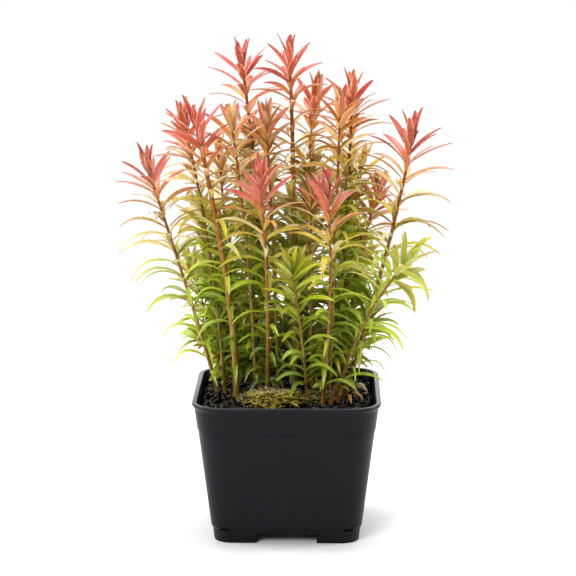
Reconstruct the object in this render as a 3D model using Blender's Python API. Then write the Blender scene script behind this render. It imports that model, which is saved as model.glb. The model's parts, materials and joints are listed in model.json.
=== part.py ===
"""Rotala grown above water in a square plastic nursery pot.

Metres, +Z up. The origin is the middle of the pot, on the plane that its feet stand on, and
-Y is the front. Each shoot is one solid: a four-sided stem with its leaves grown out of it in
pairs, each pair a quarter turn from the one below, as the plant grows them.
"""

import math

import bmesh
import bpy
import numpy as np
from mathutils import Vector
from mathutils.bvhtree import BVHTree

# Driving dimensions of the pot
RIM_WIDTH = 0.0900
POT_HEIGHT = 0.0685
FOOT_WIDTH = 0.0696
WALL = 0.0013
WALL_START = 0.0353
DRAFT = 0.1265
LIP_HEIGHT = 0.0013
LIP_WIDTH = 0.0024
LIP_ROOT = 0.0014
BAND_Z = 0.0550
BAND_STEP = 0.0003
FOOT_HEIGHT = 0.0065
FOOT_SPREAD = 0.0008
FOOT_WALL = 0.0024
FLOOR_UNDERSIDE = 0.0057
FLOOR_TOP = 0.0067
RIM_CORNER = 0.0150
FOOT_CORNER = 0.0085
CORNER_STEPS = 4
NOTCH_WIDTH = 0.0290
NOTCH_HEIGHT = 0.0055
SLIT_FROM = (0.0270, 0.0325, 0.0062)
SLIT_TO = (0.0320, 0.0400, 0.0072)

# Driving dimensions of what the pot holds
GAP = 0.0003
SOIL_Z = 0.0640
SOIL_LUMP = 0.0018
SOIL_FLAT = 0.0260
SOIL_RINGS = (1.0, 0.84, 0.66, 0.46, 0.24)
SOIL_WAVES = (410, 370)
MOSS_SIDES = 10
MOSS_RINGS = (1.0, 0.78, 0.42)
MOSS_EDGE = 0.25
MOSS_LUMP = 0.16
MOSS_WAVES = (620, 540)
MOSS = {
    "moss_patch": {"middle": (-0.0065, -0.0130), "radii": (0.0150, 0.0088), "height": 0.0064},
    "moss_tuft": {"middle": (0.0152, -0.0078), "radii": (0.0034, 0.0030), "height": 0.0068},
}
WITHERED = {
    "withered_leaf_1": {"foot": (0.0305, 0.0078), "turn": -10, "length": 0.0104, "width": 0.0034},
    "withered_leaf_2": {"foot": (0.0300, -0.0018), "turn": -36, "length": 0.0095, "width": 0.0030},
    "withered_leaf_3": {"foot": (0.0292, -0.0090), "turn": -72, "length": 0.0074, "width": 0.0026},
}
WITHERED_BOW = 0.30
WITHERED_STATIONS = (0.30, 0.68)
CUT_SIDES = 6
CUT_SLANT = 0.5
CUT_STEMS = {
    "cut_stem_1": {"foot": (0.0212, -0.0150), "lean": (0.22, 0.10), "length": 0.0085, "width": 0.0020},
    "cut_stem_2": {"foot": (0.0246, -0.0118), "lean": (0.34, 0.12), "length": 0.0070, "width": 0.0017},
}

# Each shoot: foot on the substrate, middle and end of its stem, stem width at the foot, turn
# of its first pair of leaves in degrees, and its leaves' length against the usual one. The
# end lies inside the crown, whose leaves reach about 12 mm higher.
SHOOTS = {
    "shoot_tallest": (
        (0.003, 0.004), (0.003, 0.002, 0.156), (0.001, -0.002, 0.228), 0.0027, 6, 1.00),
    "shoot_top_left": (
        (-0.013, 0.010), (-0.015, 0.010, 0.154), (-0.022, 0.006, 0.225), 0.0025, -8, 1.00),
    "shoot_top_right": (
        (0.023, 0.012), (0.028, 0.014, 0.144), (0.031, 0.012, 0.210), 0.0025, 10, 1.00),
    "shoot_left_thick": (
        (-0.025, 0.000), (-0.029, -0.009, 0.121), (-0.042, -0.022, 0.198), 0.0029, 14, 1.15),
    "shoot_right_outer": (
        (0.028, 0.004), (0.047, 0.002, 0.132), (0.0592, 0.000, 0.189), 0.0024, -4, 1.18),
    "shoot_left_outer": (
        (-0.035, 0.011), (-0.0465, 0.004, 0.108), (-0.0658, -0.008, 0.175), 0.0022, 4, 1.05),
    "shoot_front_red": (
        (-0.010, -0.002), (-0.0095, -0.017, 0.120), (-0.012, -0.035, 0.173), 0.0023, 20, 1.08),
    "shoot_front_right": (
        (0.017, -0.013), (0.0205, -0.024, 0.121), (0.019, -0.038, 0.169), 0.0022, -16, 1.05),
    "shoot_orange_right": (
        (0.020, -0.002), (0.023, -0.004, 0.142), (0.025, -0.006, 0.204), 0.0022, 24, 1.00),
    "shoot_orange_left": (
        (-0.0155, -0.001), (-0.019, -0.011, 0.136), (-0.026, -0.015, 0.198), 0.0021, -20, 0.95),
    "shoot_centre": (
        (-0.0045, -0.0005), (-0.007, -0.007, 0.142), (-0.010, -0.008, 0.198), 0.0020, 38, 0.95),
    "shoot_left_twin": (
        (-0.031, 0.009), (-0.038, 0.003, 0.135), (-0.049, 0.000, 0.196), 0.0021, -26, 1.00),
    "shoot_right_low": (
        (0.024, -0.005), (0.036, -0.013, 0.101), (0.056, -0.022, 0.134), 0.0021, 12, 1.15),
    "shoot_front_low": (
        (0.010, -0.014), (0.006, -0.024, 0.107), (0.002, -0.034, 0.132), 0.0018, -30, 1.00),
    "shoot_left_short": (
        (-0.032, 0.019), (-0.039, 0.024, 0.092), (-0.048, 0.030, 0.122), 0.0017, 30, 0.90),
    "shoot_back_orange": (
        (-0.025, 0.018), (-0.030, 0.024, 0.127), (-0.034, 0.028, 0.178), 0.0019, 16, 1.00),
    "shoot_back_tall": (
        (0.010, 0.024), (0.009, 0.032, 0.146), (0.013, 0.035, 0.207), 0.0020, -12, 0.92),
    "shoot_brown": (
        (0.012, -0.003), (0.011, -0.008, 0.128), (0.012, -0.015, 0.166), 0.0018, 34, 0.85),
    "shoot_right_tip": (
        (0.028, 0.019), (0.033, 0.024, 0.117), (0.044, 0.030, 0.159), 0.0018, -34, 0.95),
    "shoot_back_right": (
        (0.024, 0.027), (0.030, 0.034, 0.130), (0.036, 0.038, 0.172), 0.0018, 8, 0.92),
    "shoot_back_olive": (
        (-0.019, 0.026), (-0.017, 0.032, 0.131), (-0.018, 0.038, 0.169), 0.0018, -18, 0.95),
    "shoot_back_left": (
        (-0.026, 0.029), (-0.036, 0.034, 0.112), (-0.046, 0.037, 0.150), 0.0018, 26, 0.90),
    "shoot_back_low": (
        (0.000, 0.031), (0.000, 0.036, 0.100), (0.002, 0.040, 0.128), 0.0017, -6, 0.85),
}
STEM_END_WIDTH = 0.0012
STEM_TAPER = 0.7
STEM_CORNER = 0.54
STEM_SAMPLES = 241
STEM_STEP = 0.001
BARE_FOOT = 0.0075
BUD_RISE = 0.0030
BUD_WIDTH = 0.0024
BUD_TIP = 0.0130

# How leaves sit along a stem, by the distance below its end
SEED = 7
FIRST_NODE = 0.0006
CROWN_SPACING = 0.0018
STEM_SPACING = 0.0079
SPACING_REACH = 0.028
LEAF_LENGTH = 0.0200
YOUNG_SHARE = 0.30
YOUNG_REACH = 0.0065
OLD_SHARE = 0.22
OLD_REACH = 0.110
OLD_POWER = 1.5
LEAF_WIDTH = 0.0031
LEAF_BELLY = 0.8
LEAF_KEEL = 0.0006
LEAF_ROOT = 0.0011
LEAF_SINK = 0.36
CROWN_RISE = 82
STEM_RISE = 31
RISE_REACH = 0.014
DROOP = 42
DROOP_REACH = 0.045

# How much leaves differ, and how much more each try lets them: degrees and shares
YAW = 13
YAW_EASE = 42
LIFT = 6
LIFT_EASE = 24
ROLL = 20
DROOP_CHANCE = 0.25
LENGTH_CHANCE = 0.10
LENGTH_EASE = 0.5

# How leaves give way to each other: tries for each leaf, and the grid of cells they fill
TRIES = 26
CELL = 0.0008
ROOM_LOW = np.array((-0.096, -0.096, 0.055))
ROOM_CELLS = (240, 240, 256)
LEAF_STATIONS = np.linspace(0, 1, 25)[:, None]
RIM_BAND = (-0.006, 0.002)
LOWEST_LEAF = 0.0665
ABOVE_RIM = 0.0705
LITTER = {"low": (0.0195, -0.0180), "high": (0.0430, 0.0110), "top": 0.0735}

# Leaves left to fine work: the heart of a crown, and low leaves that point into the clump
HEART = 0.0045
CLUMP_LOW_Z = 0.150
CLUMP_AXIS = np.array((0.0, 0.006))
INWARD = 0.05

SMOOTH_ANGLE = math.radians(38)
POT_COLOUR = (0.020, 0.020, 0.023)
SOIL_COLOUR = (0.022, 0.017, 0.015)
MOSS_COLOUR = (0.26, 0.22, 0.07)
WITHERED_COLOUR = (0.42, 0.26, 0.06)
CUT_COLOUR = (0.20, 0.06, 0.03)
LOW_SHOOT_COLOUR = (0.20, 0.30, 0.04)
HIGH_SHOOT_COLOUR = (0.45, 0.13, 0.06)
LOW_END_Z = 0.12
HIGH_END_Z = 0.21


def clear_scene():
    """Removes every object that the file opened with."""
    for old in list(bpy.data.objects):
        bpy.data.objects.remove(old, do_unlink=True)


def material(name, colour, roughness):
    """Makes a Principled material of one colour."""
    made = bpy.data.materials.new(name)
    made.use_nodes = True
    shader = made.node_tree.nodes["Principled BSDF"]
    shader.inputs["Base Color"].default_value = (*colour, 1.0)
    shader.inputs["Roughness"].default_value = roughness
    shader.inputs["Metallic"].default_value = 0.0
    return made


def add_object(name, points, faces, look):
    """Makes one named object from points and faces, smooth where its faces turn a little."""
    mesh = bpy.data.meshes.new(name)
    mesh.from_pydata([tuple(map(float, point)) for point in points], [], faces)
    mesh.materials.append(look)
    mesh.shade_smooth()
    mesh.set_sharp_from_angle(angle=SMOOTH_ANGLE)
    made = bpy.data.objects.new(name, mesh)
    bpy.context.collection.objects.link(made)
    return made


def cut_box(target, name, low, high):
    """Cuts a box, given by two of its corners, out of the target."""
    box = bmesh.new()
    bmesh.ops.create_cube(box, size=1.0)
    low, high = Vector(low), Vector(high)
    bmesh.ops.scale(box, vec=high - low, verts=box.verts)
    bmesh.ops.translate(box, vec=(low + high) / 2, verts=box.verts)
    mesh = bpy.data.meshes.new(name)
    box.to_mesh(mesh)
    box.free()
    cutter = bpy.data.objects.new(name, mesh)
    cutter.hide_render = True
    cutter.display_type = "WIRE"
    bpy.context.collection.objects.link(cutter)
    hole = target.modifiers.new(name, "BOOLEAN")
    hole.operation = "DIFFERENCE"
    hole.solver = "EXACT"
    hole.object = cutter


def rounded_square(half, corner, z):
    """Points around a square with round corners, anticlockwise seen from above."""
    quarter = np.repeat(np.arange(4), CORNER_STEPS + 1) * math.pi / 2
    angle = quarter + np.tile(np.linspace(0, math.pi / 2, CORNER_STEPS + 1), 4)
    reach = half - corner
    x = reach * (np.cos(quarter) - np.sin(quarter)) + corner * np.cos(angle)
    y = reach * (np.sin(quarter) + np.cos(quarter)) + corner * np.sin(angle)
    return np.column_stack([x, y, np.full(len(x), z)])


def band_faces(rings, around):
    """Quads between each ring of points and the next, facing out where the rings rise."""
    faces = []
    for ring in range(rings - 1):
        for here in range(around):
            ahead = (here + 1) % around
            low, high = ring * around, (ring + 1) * around
            faces.append((low + here, low + ahead, high + ahead, high + here))
    return faces


def wall_half(z):
    """Half the pot's width below its upper band, at a height."""
    return WALL_START + DRAFT * z


def corner_at(z):
    """Outer corner radius of the pot at a height."""
    return FOOT_CORNER + (RIM_CORNER - FOOT_CORNER) * z / POT_HEIGHT


def make_pot():
    """The pot: one skin from under its floor, round its feet and lip, and down inside."""
    foot = FOOT_WIDTH / 2
    lip_z = POT_HEIGHT - LIP_HEIGHT
    root_z = lip_z - LIP_ROOT
    step_z = FOOT_HEIGHT + FOOT_SPREAD
    rim = RIM_WIDTH / 2
    profile = (
        (foot - FOOT_WALL, FLOOR_UNDERSIDE, FOOT_WALL),
        (foot - FOOT_WALL, 0.0, FOOT_WALL),
        (foot, 0.0, 0.0),
        (foot + FOOT_SPREAD, FOOT_HEIGHT, 0.0),
        (wall_half(step_z), step_z, 0.0),
        (wall_half(BAND_Z), BAND_Z, 0.0),
        (wall_half(BAND_Z) + BAND_STEP, BAND_Z + BAND_STEP, 0.0),
        (wall_half(root_z) + BAND_STEP, root_z, 0.0),
        (rim, lip_z, 0.0),
        (rim, POT_HEIGHT, 0.0),
        (rim - LIP_WIDTH, POT_HEIGHT, LIP_WIDTH),
        (wall_half(FLOOR_TOP) - WALL, FLOOR_TOP, WALL),
    )
    rings = [rounded_square(half, corner_at(z) - inset, z) for half, z, inset in profile]
    around = len(rings[0])
    faces = band_faces(len(rings), around)
    faces.append(tuple(reversed(range(around))))
    faces.append(tuple(range((len(rings) - 1) * around, len(rings) * around)))
    look = material("pot_plastic", POT_COLOUR, 0.42)
    pot = add_object("pot", np.concatenate(rings), faces, look)
    notch = np.array((RIM_WIDTH, NOTCH_WIDTH / 2, NOTCH_HEIGHT))
    cut_box(pot, "notch_x", -notch, notch)
    cut_box(pot, "notch_y", -notch[[1, 0, 2]], notch[[1, 0, 2]])
    for side in (-1, 1):
        for end in (-1, 1):
            turned = np.array((side, end, 1))
            corners = np.array((SLIT_FROM, SLIT_TO)) * turned
            cut_box(pot, "slit", corners.min(axis=0), corners.max(axis=0))
    return pot


def ground(x, y):
    """Height of the substrate: level where the shoots stand, lumpy towards the wall."""
    away = np.clip((np.hypot(x, y) - SOIL_FLAT) / SOIL_FLAT, 0, 1)
    lumps = (2 + np.sin(SOIL_WAVES[0] * x + 1.3) + np.cos(SOIL_WAVES[1] * y - 0.6)) / 4
    return SOIL_Z - SOIL_LUMP * away * lumps


def make_substrate():
    """The bed of granules: it fills the pot, and keeps a gap to its walls and floor."""
    top_half = wall_half(SOIL_Z) - WALL - GAP
    low_z = FLOOR_TOP + GAP
    low_half = wall_half(low_z) - WALL - GAP
    rings = [rounded_square(low_half, corner_at(low_z) - WALL - GAP, low_z)]
    edge = rounded_square(top_half, corner_at(SOIL_Z) - WALL - GAP, SOIL_Z)
    for share in SOIL_RINGS:
        ring = edge * (share, share, 1)
        ring[:, 2] = ground(ring[:, 0], ring[:, 1])
        rings.append(ring)
    around = len(edge)
    points = np.concatenate(rings + [[(0, 0, SOIL_Z)]])
    faces = band_faces(len(rings), around)
    faces.append(tuple(reversed(range(around))))
    last = (len(rings) - 1) * around
    for here in range(around):
        faces.append((last + here, last + (here + 1) % around, len(points) - 1))
    return add_object("substrate", points, faces, material("baked_clay", SOIL_COLOUR, 0.9))


def moss_height(patch, x, y):
    """Height of a moss cushion above its foot: a low dome with soft lumps."""
    (middle_x, middle_y), (radius_x, radius_y) = patch["middle"], patch["radii"]
    out = np.hypot((x - middle_x) / radius_x, (y - middle_y) / radius_y)
    dome = np.sqrt(np.clip(1 - out**2, 0, 1))
    lumps = 1 + MOSS_LUMP * np.sin(MOSS_WAVES[0] * x + 0.5) * np.cos(MOSS_WAVES[1] * y)
    return patch["height"] * dome * lumps


def make_moss(name, patch):
    """A moss cushion with a flat foot on the level part of the substrate."""
    angle = np.linspace(0, 2 * math.pi, MOSS_SIDES, endpoint=False)
    (middle_x, middle_y), (radius_x, radius_y) = patch["middle"], patch["radii"]
    foot_z = SOIL_Z + GAP
    edge = patch["height"] * MOSS_EDGE
    rings = []
    for share in (MOSS_RINGS[0], *MOSS_RINGS):
        x = middle_x + radius_x * share * np.cos(angle)
        y = middle_y + radius_y * share * np.sin(angle)
        z = foot_z + edge + (1 - MOSS_EDGE) * moss_height(patch, x, y)
        rings.append(np.column_stack([x, y, z]))
    rings[0][:, 2] = foot_z
    top = foot_z + edge + (1 - MOSS_EDGE) * moss_height(patch, middle_x, middle_y)
    points = np.concatenate(rings + [[(middle_x, middle_y, top)]])
    faces = band_faces(len(rings), MOSS_SIDES)
    faces.append(tuple(reversed(range(MOSS_SIDES))))
    last = (len(rings) - 1) * MOSS_SIDES
    for here in range(MOSS_SIDES):
        faces.append((last + here, last + (here + 1) % MOSS_SIDES, len(points) - 1))
    return add_object(name, points, faces, material(name, MOSS_COLOUR, 0.95))


def make_withered(name, leaf, surface, look):
    """A dead leaf that stands on the substrate by its two ends, bowed up between them."""
    turn = math.radians(leaf["turn"])
    along = np.array((math.cos(turn), math.sin(turn), 0))
    across = np.array((-along[1], along[0], 0))
    start = np.array((*leaf["foot"], 0))
    finish = start + along * leaf["length"]
    rests = [height_under(surface, end) + GAP + LEAF_KEEL for end in (start, finish)]
    start[2], finish[2] = rests
    points = [start]
    for share in WITHERED_STATIONS:
        middle = start + (finish - start) * share
        middle[2] += leaf["length"] * WITHERED_BOW * 4 * share * (1 - share)
        half = across * leaf["width"] / 2
        points += [middle - half, middle + half, middle - (0, 0, LEAF_KEEL)]
    points.append(finish)
    faces = [(0, 1, 2), (0, 2, 3), (0, 3, 1), (1, 4, 5, 2), (2, 5, 6, 3), (3, 6, 4, 1)]
    faces += [(4, 7, 5), (5, 7, 6), (6, 7, 4)]
    return add_object(name, points, faces, look)


def make_cut_stem(name, stem, surface, look):
    """The stump of a cut stem: a leaning prism with a slanting top."""
    foot = np.array((*stem["foot"], 0))
    foot[2] = height_under(surface, foot, stem["width"]) + GAP
    lean = np.array((*stem["lean"], 1))
    angle = np.linspace(0, 2 * math.pi, CUT_SIDES, endpoint=False)
    circle = np.column_stack([np.cos(angle), np.sin(angle), 0 * angle]) * stem["width"] / 2
    top = foot + circle + unit(lean) * stem["length"]
    top[:, 2] += circle[:, 0] * CUT_SLANT
    faces = band_faces(2, CUT_SIDES)
    faces += [tuple(reversed(range(CUT_SIDES))), tuple(range(CUT_SIDES, 2 * CUT_SIDES))]
    return add_object(name, np.concatenate([foot + circle, top]), faces, look)


def height_under(surface, point, reach=0.0):
    """Highest point of a surface under a spot or around it."""
    heights = []
    for step_x in (-reach, 0, reach):
        for step_y in (-reach, 0, reach):
            start = Vector((point[0] + step_x, point[1] + step_y, POT_HEIGHT))
            hit = surface.ray_cast(start, Vector((0, 0, -1)))[0]
            heights.append(hit.z)
    return max(heights)


def unit(vector):
    """The vector at length 1."""
    return vector / np.linalg.norm(vector)


def stem_line(foot, middle, end):
    """Points down a stem from its end, on the parabola through its three points, and how
    far below the end each of them lies."""
    share = np.linspace(1, 0, STEM_SAMPLES)[:, None]
    foot = np.array((*foot, SOIL_Z))
    line = foot * (1 - share) * (1 - 2 * share)
    line = line + np.array(middle) * 4 * share * (1 - share) + np.array(end) * share * (2 * share - 1)
    steps = np.linalg.norm(np.diff(line, axis=0), axis=1)
    return line, np.concatenate([[0], np.cumsum(steps)])


def on_line(line, below, distance):
    """The point of a stem that lies so far below its end."""
    return np.array([np.interp(distance, below, line[:, axis]) for axis in range(3)])


def stem_frame(line, below, distance, turn):
    """A stem's point at a distance below its end, its direction there, and the directions
    of its first and second faces."""
    ahead = on_line(line, below, distance - STEM_STEP)
    up = unit(ahead - on_line(line, below, distance + STEM_STEP))
    first = np.array((math.cos(turn), math.sin(turn), 0))
    first = unit(first - up * (first @ up))
    return on_line(line, below, distance), up, first, np.cross(up, first)


def stem_width(distance, length, foot_width):
    """Width of a stem at a distance below its end."""
    return STEM_END_WIDTH + (foot_width - STEM_END_WIDTH) * (distance / length) ** STEM_TAPER


def node_distances(length):
    """Distances of the leaf nodes below a stem's end: close in the crown, wider below."""
    distances = []
    distance = FIRST_NODE
    while distance < length - BARE_FOOT:
        distances.append(distance)
        distance += STEM_SPACING - (STEM_SPACING - CROWN_SPACING) * math.exp(-distance / SPACING_REACH)
    return distances


def leaf_size(distance):
    """A leaf's usual length and width: small in the heart, long below it, shorter again
    near the foot."""
    young = YOUNG_SHARE * math.exp(-distance / YOUNG_REACH)
    old = OLD_SHARE * min(distance / OLD_REACH, 1) ** OLD_POWER
    return LEAF_LENGTH * (1 - young - old), LEAF_WIDTH * (1 - 0.5 * young - 0.6 * old)


def grow_leaf(frame, face, distance, radius, scale, chance, ease):
    """One way for a leaf to grow: base, chord, bow and side vectors, and width. At ease 0 it
    keeps near its usual direction, and up to ease 1 it turns, lifts and shrinks more."""
    here, up, first, second = frame
    out = first * math.cos(face * math.pi / 2) + second * math.sin(face * math.pi / 2)
    base = here + out * radius
    up = unit(up + (0, 0, 1))
    out = unit(out - up * (out @ up))
    yaw = math.radians(YAW + YAW_EASE * ease) * chance[0]
    out = out * math.cos(yaw) + np.cross(up, out) * math.sin(yaw)
    rise = STEM_RISE + (CROWN_RISE - STEM_RISE) * math.exp(-distance / RISE_REACH)
    rise += (LIFT + LIFT_EASE * ease) * chance[1]
    droop = DROOP * (1 - math.exp(-distance / DROOP_REACH)) * (1 + DROOP_CHANCE * chance[2])
    chord_rise = math.radians(rise - droop)
    length, width = leaf_size(distance)
    length *= scale * (1 + LENGTH_CHANCE * chance[3]) * (1 - LENGTH_EASE * ease)
    chord = out * math.cos(chord_rise) + up * math.sin(chord_rise)
    above = up * math.cos(chord_rise) - out * math.sin(chord_rise)
    bow = above * length * math.tan(math.radians(droop)) / 4
    roll = math.radians(ROLL) * chance[4]
    side = np.cross(above, chord) * math.cos(roll) + above * math.sin(roll)
    return {"base": base, "chord": chord * length, "bow": bow, "side": side, "width": width}


def leaf_points(leaf):
    """Points over a leaf's middle and both edges, on its smooth bow and on its two chords."""
    share = LEAF_STATIONS
    fold = 1 - np.abs(2 * share - 1)
    smooth = leaf["base"] + leaf["chord"] * share + leaf["bow"] * 4 * share * (1 - share)
    chords = leaf["base"] + leaf["chord"] * share + leaf["bow"] * fold
    wide = leaf["side"] * leaf["width"] / 2 * np.sin(math.pi * share**LEAF_BELLY)
    tapered = leaf["side"] * leaf["width"] / 2 * fold
    rows = [smooth, smooth + wide, smooth - wide, chords, chords + tapered, chords - tapered]
    return np.stack(rows, axis=1)


class Room:
    """A grid of small cells over the clump that notes which shoot has filled each of them."""

    def __init__(self):
        axes = [ROOM_LOW[i] + CELL * (np.arange(ROOM_CELLS[i]) + 0.5) for i in range(3)]
        x, y = np.meshgrid(axes[0], axes[1], indexing="ij")
        past_rim = np.maximum(np.abs(x), np.abs(y)) - RIM_WIDTH / 2
        on_rim = (past_rim > RIM_BAND[0]) & (past_rim < RIM_BAND[1])
        floor = np.where(on_rim, ABOVE_RIM, LOWEST_LEAF)
        low, high = LITTER["low"], LITTER["high"]
        littered = (x > low[0]) & (x < high[0]) & (y > low[1]) & (y < high[1])
        floor = np.where(littered, LITTER["top"], floor)
        for patch in MOSS.values():
            floor = np.maximum(floor, SOIL_Z + moss_height(patch, x, y) * 1.1 + 2 * CELL)
        self.near = np.where(axes[2] < floor[:, :, None], -1, 0).astype(np.int8)
        self.exact = np.zeros(ROOM_CELLS, bool)

    def cells(self, points):
        """The cells that hold points, with points outside the grid put in its edge."""
        index = ((points.reshape(-1, 3) - ROOM_LOW) / CELL).astype(int)
        return np.clip(index, 2, np.array(ROOM_CELLS) - 3)

    def fill(self, points, owner, reach):
        """Marks the cells up to reach cells away from points as near this owner."""
        span = np.arange(-reach, reach + 1)
        offsets = np.stack(np.meshgrid(span, span, span), axis=-1).reshape(-1, 3)
        offsets = offsets[np.linalg.norm(offsets, axis=1) <= reach + 0.8]
        cells = (self.cells(points)[:, None] + offsets).reshape(-1, 3)
        cells = np.clip(cells, 0, np.array(ROOM_CELLS) - 1)
        spots = tuple(cells.T)
        before = self.near[spots]
        self.near[spots] = np.where((before == 0) | (before == owner), owner, -1)

    def add_leaf(self, points, owner):
        """Marks a leaf's cells, and those beside them as near its shoot."""
        self.fill(points, owner, 1)
        self.exact[tuple(self.cells(points[6:]).T)] = True

    def is_free(self, points, owner):
        """Whether a leaf meets no other shoot, and past its first part no leaf of its own."""
        near = self.near[tuple(self.cells(points[3:]).T)]
        others = (near != 0) & (near != owner)
        return not others.any() and not self.exact[tuple(self.cells(points[6:]).T)].any()


def lay_out_leaves():
    """Every leaf of the clump, crowns first: each takes the first way to grow that is free
    and is left out if none is."""
    room = Room()
    places = []
    for owner, (foot, middle, end, width, turn, scale) in enumerate(SHOOTS.values(), start=1):
        line, below = stem_line(foot, middle, end)
        room.fill(line, owner, round((width / 2 + CELL) / CELL))
        for node, distance in enumerate(node_distances(below[-1])):
            frame = stem_frame(line, below, distance, math.radians(turn))
            radius = LEAF_SINK * stem_width(distance, below[-1], width)
            for face in (node % 2, node % 2 + 2):
                places.append((distance, owner, node, face, frame, radius, scale))
    places.sort(key=lambda place: place[:4])
    chances = np.random.default_rng(SEED)
    leaves = []
    for distance, owner, node, face, frame, radius, scale in places:
        for attempt in range(TRIES):
            chance = chances.uniform(-1, 1, 5)
            leaf = grow_leaf(frame, face, distance, radius, scale, chance, attempt / TRIES)
            points = leaf_points(leaf)
            if room.is_free(points, owner):
                room.add_leaf(points, owner)
                leaves.append({**leaf, "owner": owner, "node": node, "face": face, "below": distance})
                break
    return leaves


def is_solid(leaf):
    """Whether a leaf is part of the solids: not in a heart, nor low and pointing inwards."""
    outwards = unit(leaf["base"][:2] - CLUMP_AXIS) @ unit(leaf["chord"][:2])
    return leaf["below"] > HEART and (leaf["base"][2] > CLUMP_LOW_Z or outwards > INWARD)


def stem_ring(frame, width):
    """The four corners of a stem: corner n lies before face n."""
    here, up, first, second = frame
    angle = np.arange(4)[:, None] * math.pi / 2 - math.pi / 4
    return here + (first * np.cos(angle) + second * np.sin(angle)) * width * STEM_CORNER


def make_shoot(name, owner, leaves, surface):
    """One shoot: rings of four points up the stem, a leaf out of a side below its ring where
    one grows, and a closed bud on top."""
    foot, middle, end, width, turn = SHOOTS[name][:5]
    line, below = stem_line(foot, middle, end)
    turn = math.radians(turn)
    own = {}
    for leaf in leaves:
        if leaf["owner"] == owner and is_solid(leaf):
            own.setdefault(leaf["below"], {})[leaf["face"]] = leaf
    low_ring = stem_ring(stem_frame(line, below, below[-1] - STEM_STEP, turn), width)
    low_ring[:, 2] = height_under(surface, low_ring.mean(axis=0), width / 2) + GAP
    points = list(low_ring)
    faces = []
    ring_start = 0
    for distance in sorted(own, reverse=True):
        frame = stem_frame(line, below, distance, turn)
        ring = stem_ring(frame, stem_width(distance, below[-1], width))
        start = len(points)
        points += list(ring)
        for face in range(4):
            after = (face + 1) % 4
            a, b, top_a, top_b = ring_start + face, ring_start + after, start + face, start + after
            leaf = own[distance].get(face)
            if leaf is None:
                faces += [(a, b, top_b), (a, top_b, top_a)]
                continue
            root = len(points)
            points.append((points[top_a] + points[top_b]) / 2 - frame[1] * LEAF_ROOT)
            middle_point = leaf["base"] + leaf["chord"] / 2 + leaf["bow"]
            half = leaf["side"] * leaf["width"] / 2
            keel_drop = unit(np.cross(leaf["chord"], leaf["side"])) * LEAF_KEEL
            points += [middle_point - half, middle_point + half, middle_point - keel_drop]
            points.append(leaf["base"] + leaf["chord"])
            left, right, keel, tip = root + 1, root + 2, root + 3, root + 4
            faces += [(a, b, root), (b, top_b, root), (a, root, top_a)]
            faces += [(top_a, left, right), (top_a, right, top_b), (left, tip, right)]
            faces += [(top_a, root, keel), (top_a, keel, left), (top_b, right, keel), (top_b, keel, root)]
            faces += [(left, keel, tip), (right, tip, keel)]
        ring_start = start
    up = stem_frame(line, below, 0.0, turn)[1]
    here, _, first, second = stem_frame(line, below, 0.0, turn)
    bud = len(points)
    points += list(stem_ring((here + up * BUD_RISE, up, first, second), BUD_WIDTH))
    points.append(here + up * BUD_TIP)
    for face in range(4):
        after = (face + 1) % 4
        faces.append((ring_start + face, ring_start + after, bud + after))
        faces.append((ring_start + face, bud + after, bud + face))
        faces.append((bud + face, bud + after, bud + 4))
    faces.append((3, 2, 1, 0))
    share = min(max((end[2] - LOW_END_Z) / (HIGH_END_Z - LOW_END_Z), 0), 1)
    colour = [low + (high - low) * share for low, high in zip(LOW_SHOOT_COLOUR, HIGH_SHOOT_COLOUR)]
    return add_object(name, points, faces, material(name, colour, 0.5))


def main():
    """Builds the pot, what fills it and the shoots."""
    clear_scene()
    make_pot()
    substrate = make_substrate()
    surface = BVHTree.FromPolygons(
        [v.co for v in substrate.data.vertices], [tuple(p.vertices) for p in substrate.data.polygons]
    )
    for name, patch in MOSS.items():
        make_moss(name, patch)
    withered = material("withered_leaf", WITHERED_COLOUR, 0.8)
    for name, leaf in WITHERED.items():
        make_withered(name, leaf, surface, withered)
    cut_look = material("cut_stem", CUT_COLOUR, 0.6)
    for name, stem in CUT_STEMS.items():
        make_cut_stem(name, stem, surface, cut_look)
    leaves = lay_out_leaves()
    for owner, name in enumerate(SHOOTS, start=1):
        make_shoot(name, owner, leaves, surface)


main()
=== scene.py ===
"""Looks for a rotala clump in a square nursery pot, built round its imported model.

Metres, +Z up, -Y the front. Every surface is worked out as whole arrays: a function of two
parameters on a grid, or a profile carried along a path.
"""
import json
import math

import bpy
import numpy as np
from bpy.props import FloatProperty, FloatVectorProperty, PointerProperty
from bpy.types import Operator, Panel, PropertyGroup
from mathutils import Matrix

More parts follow.
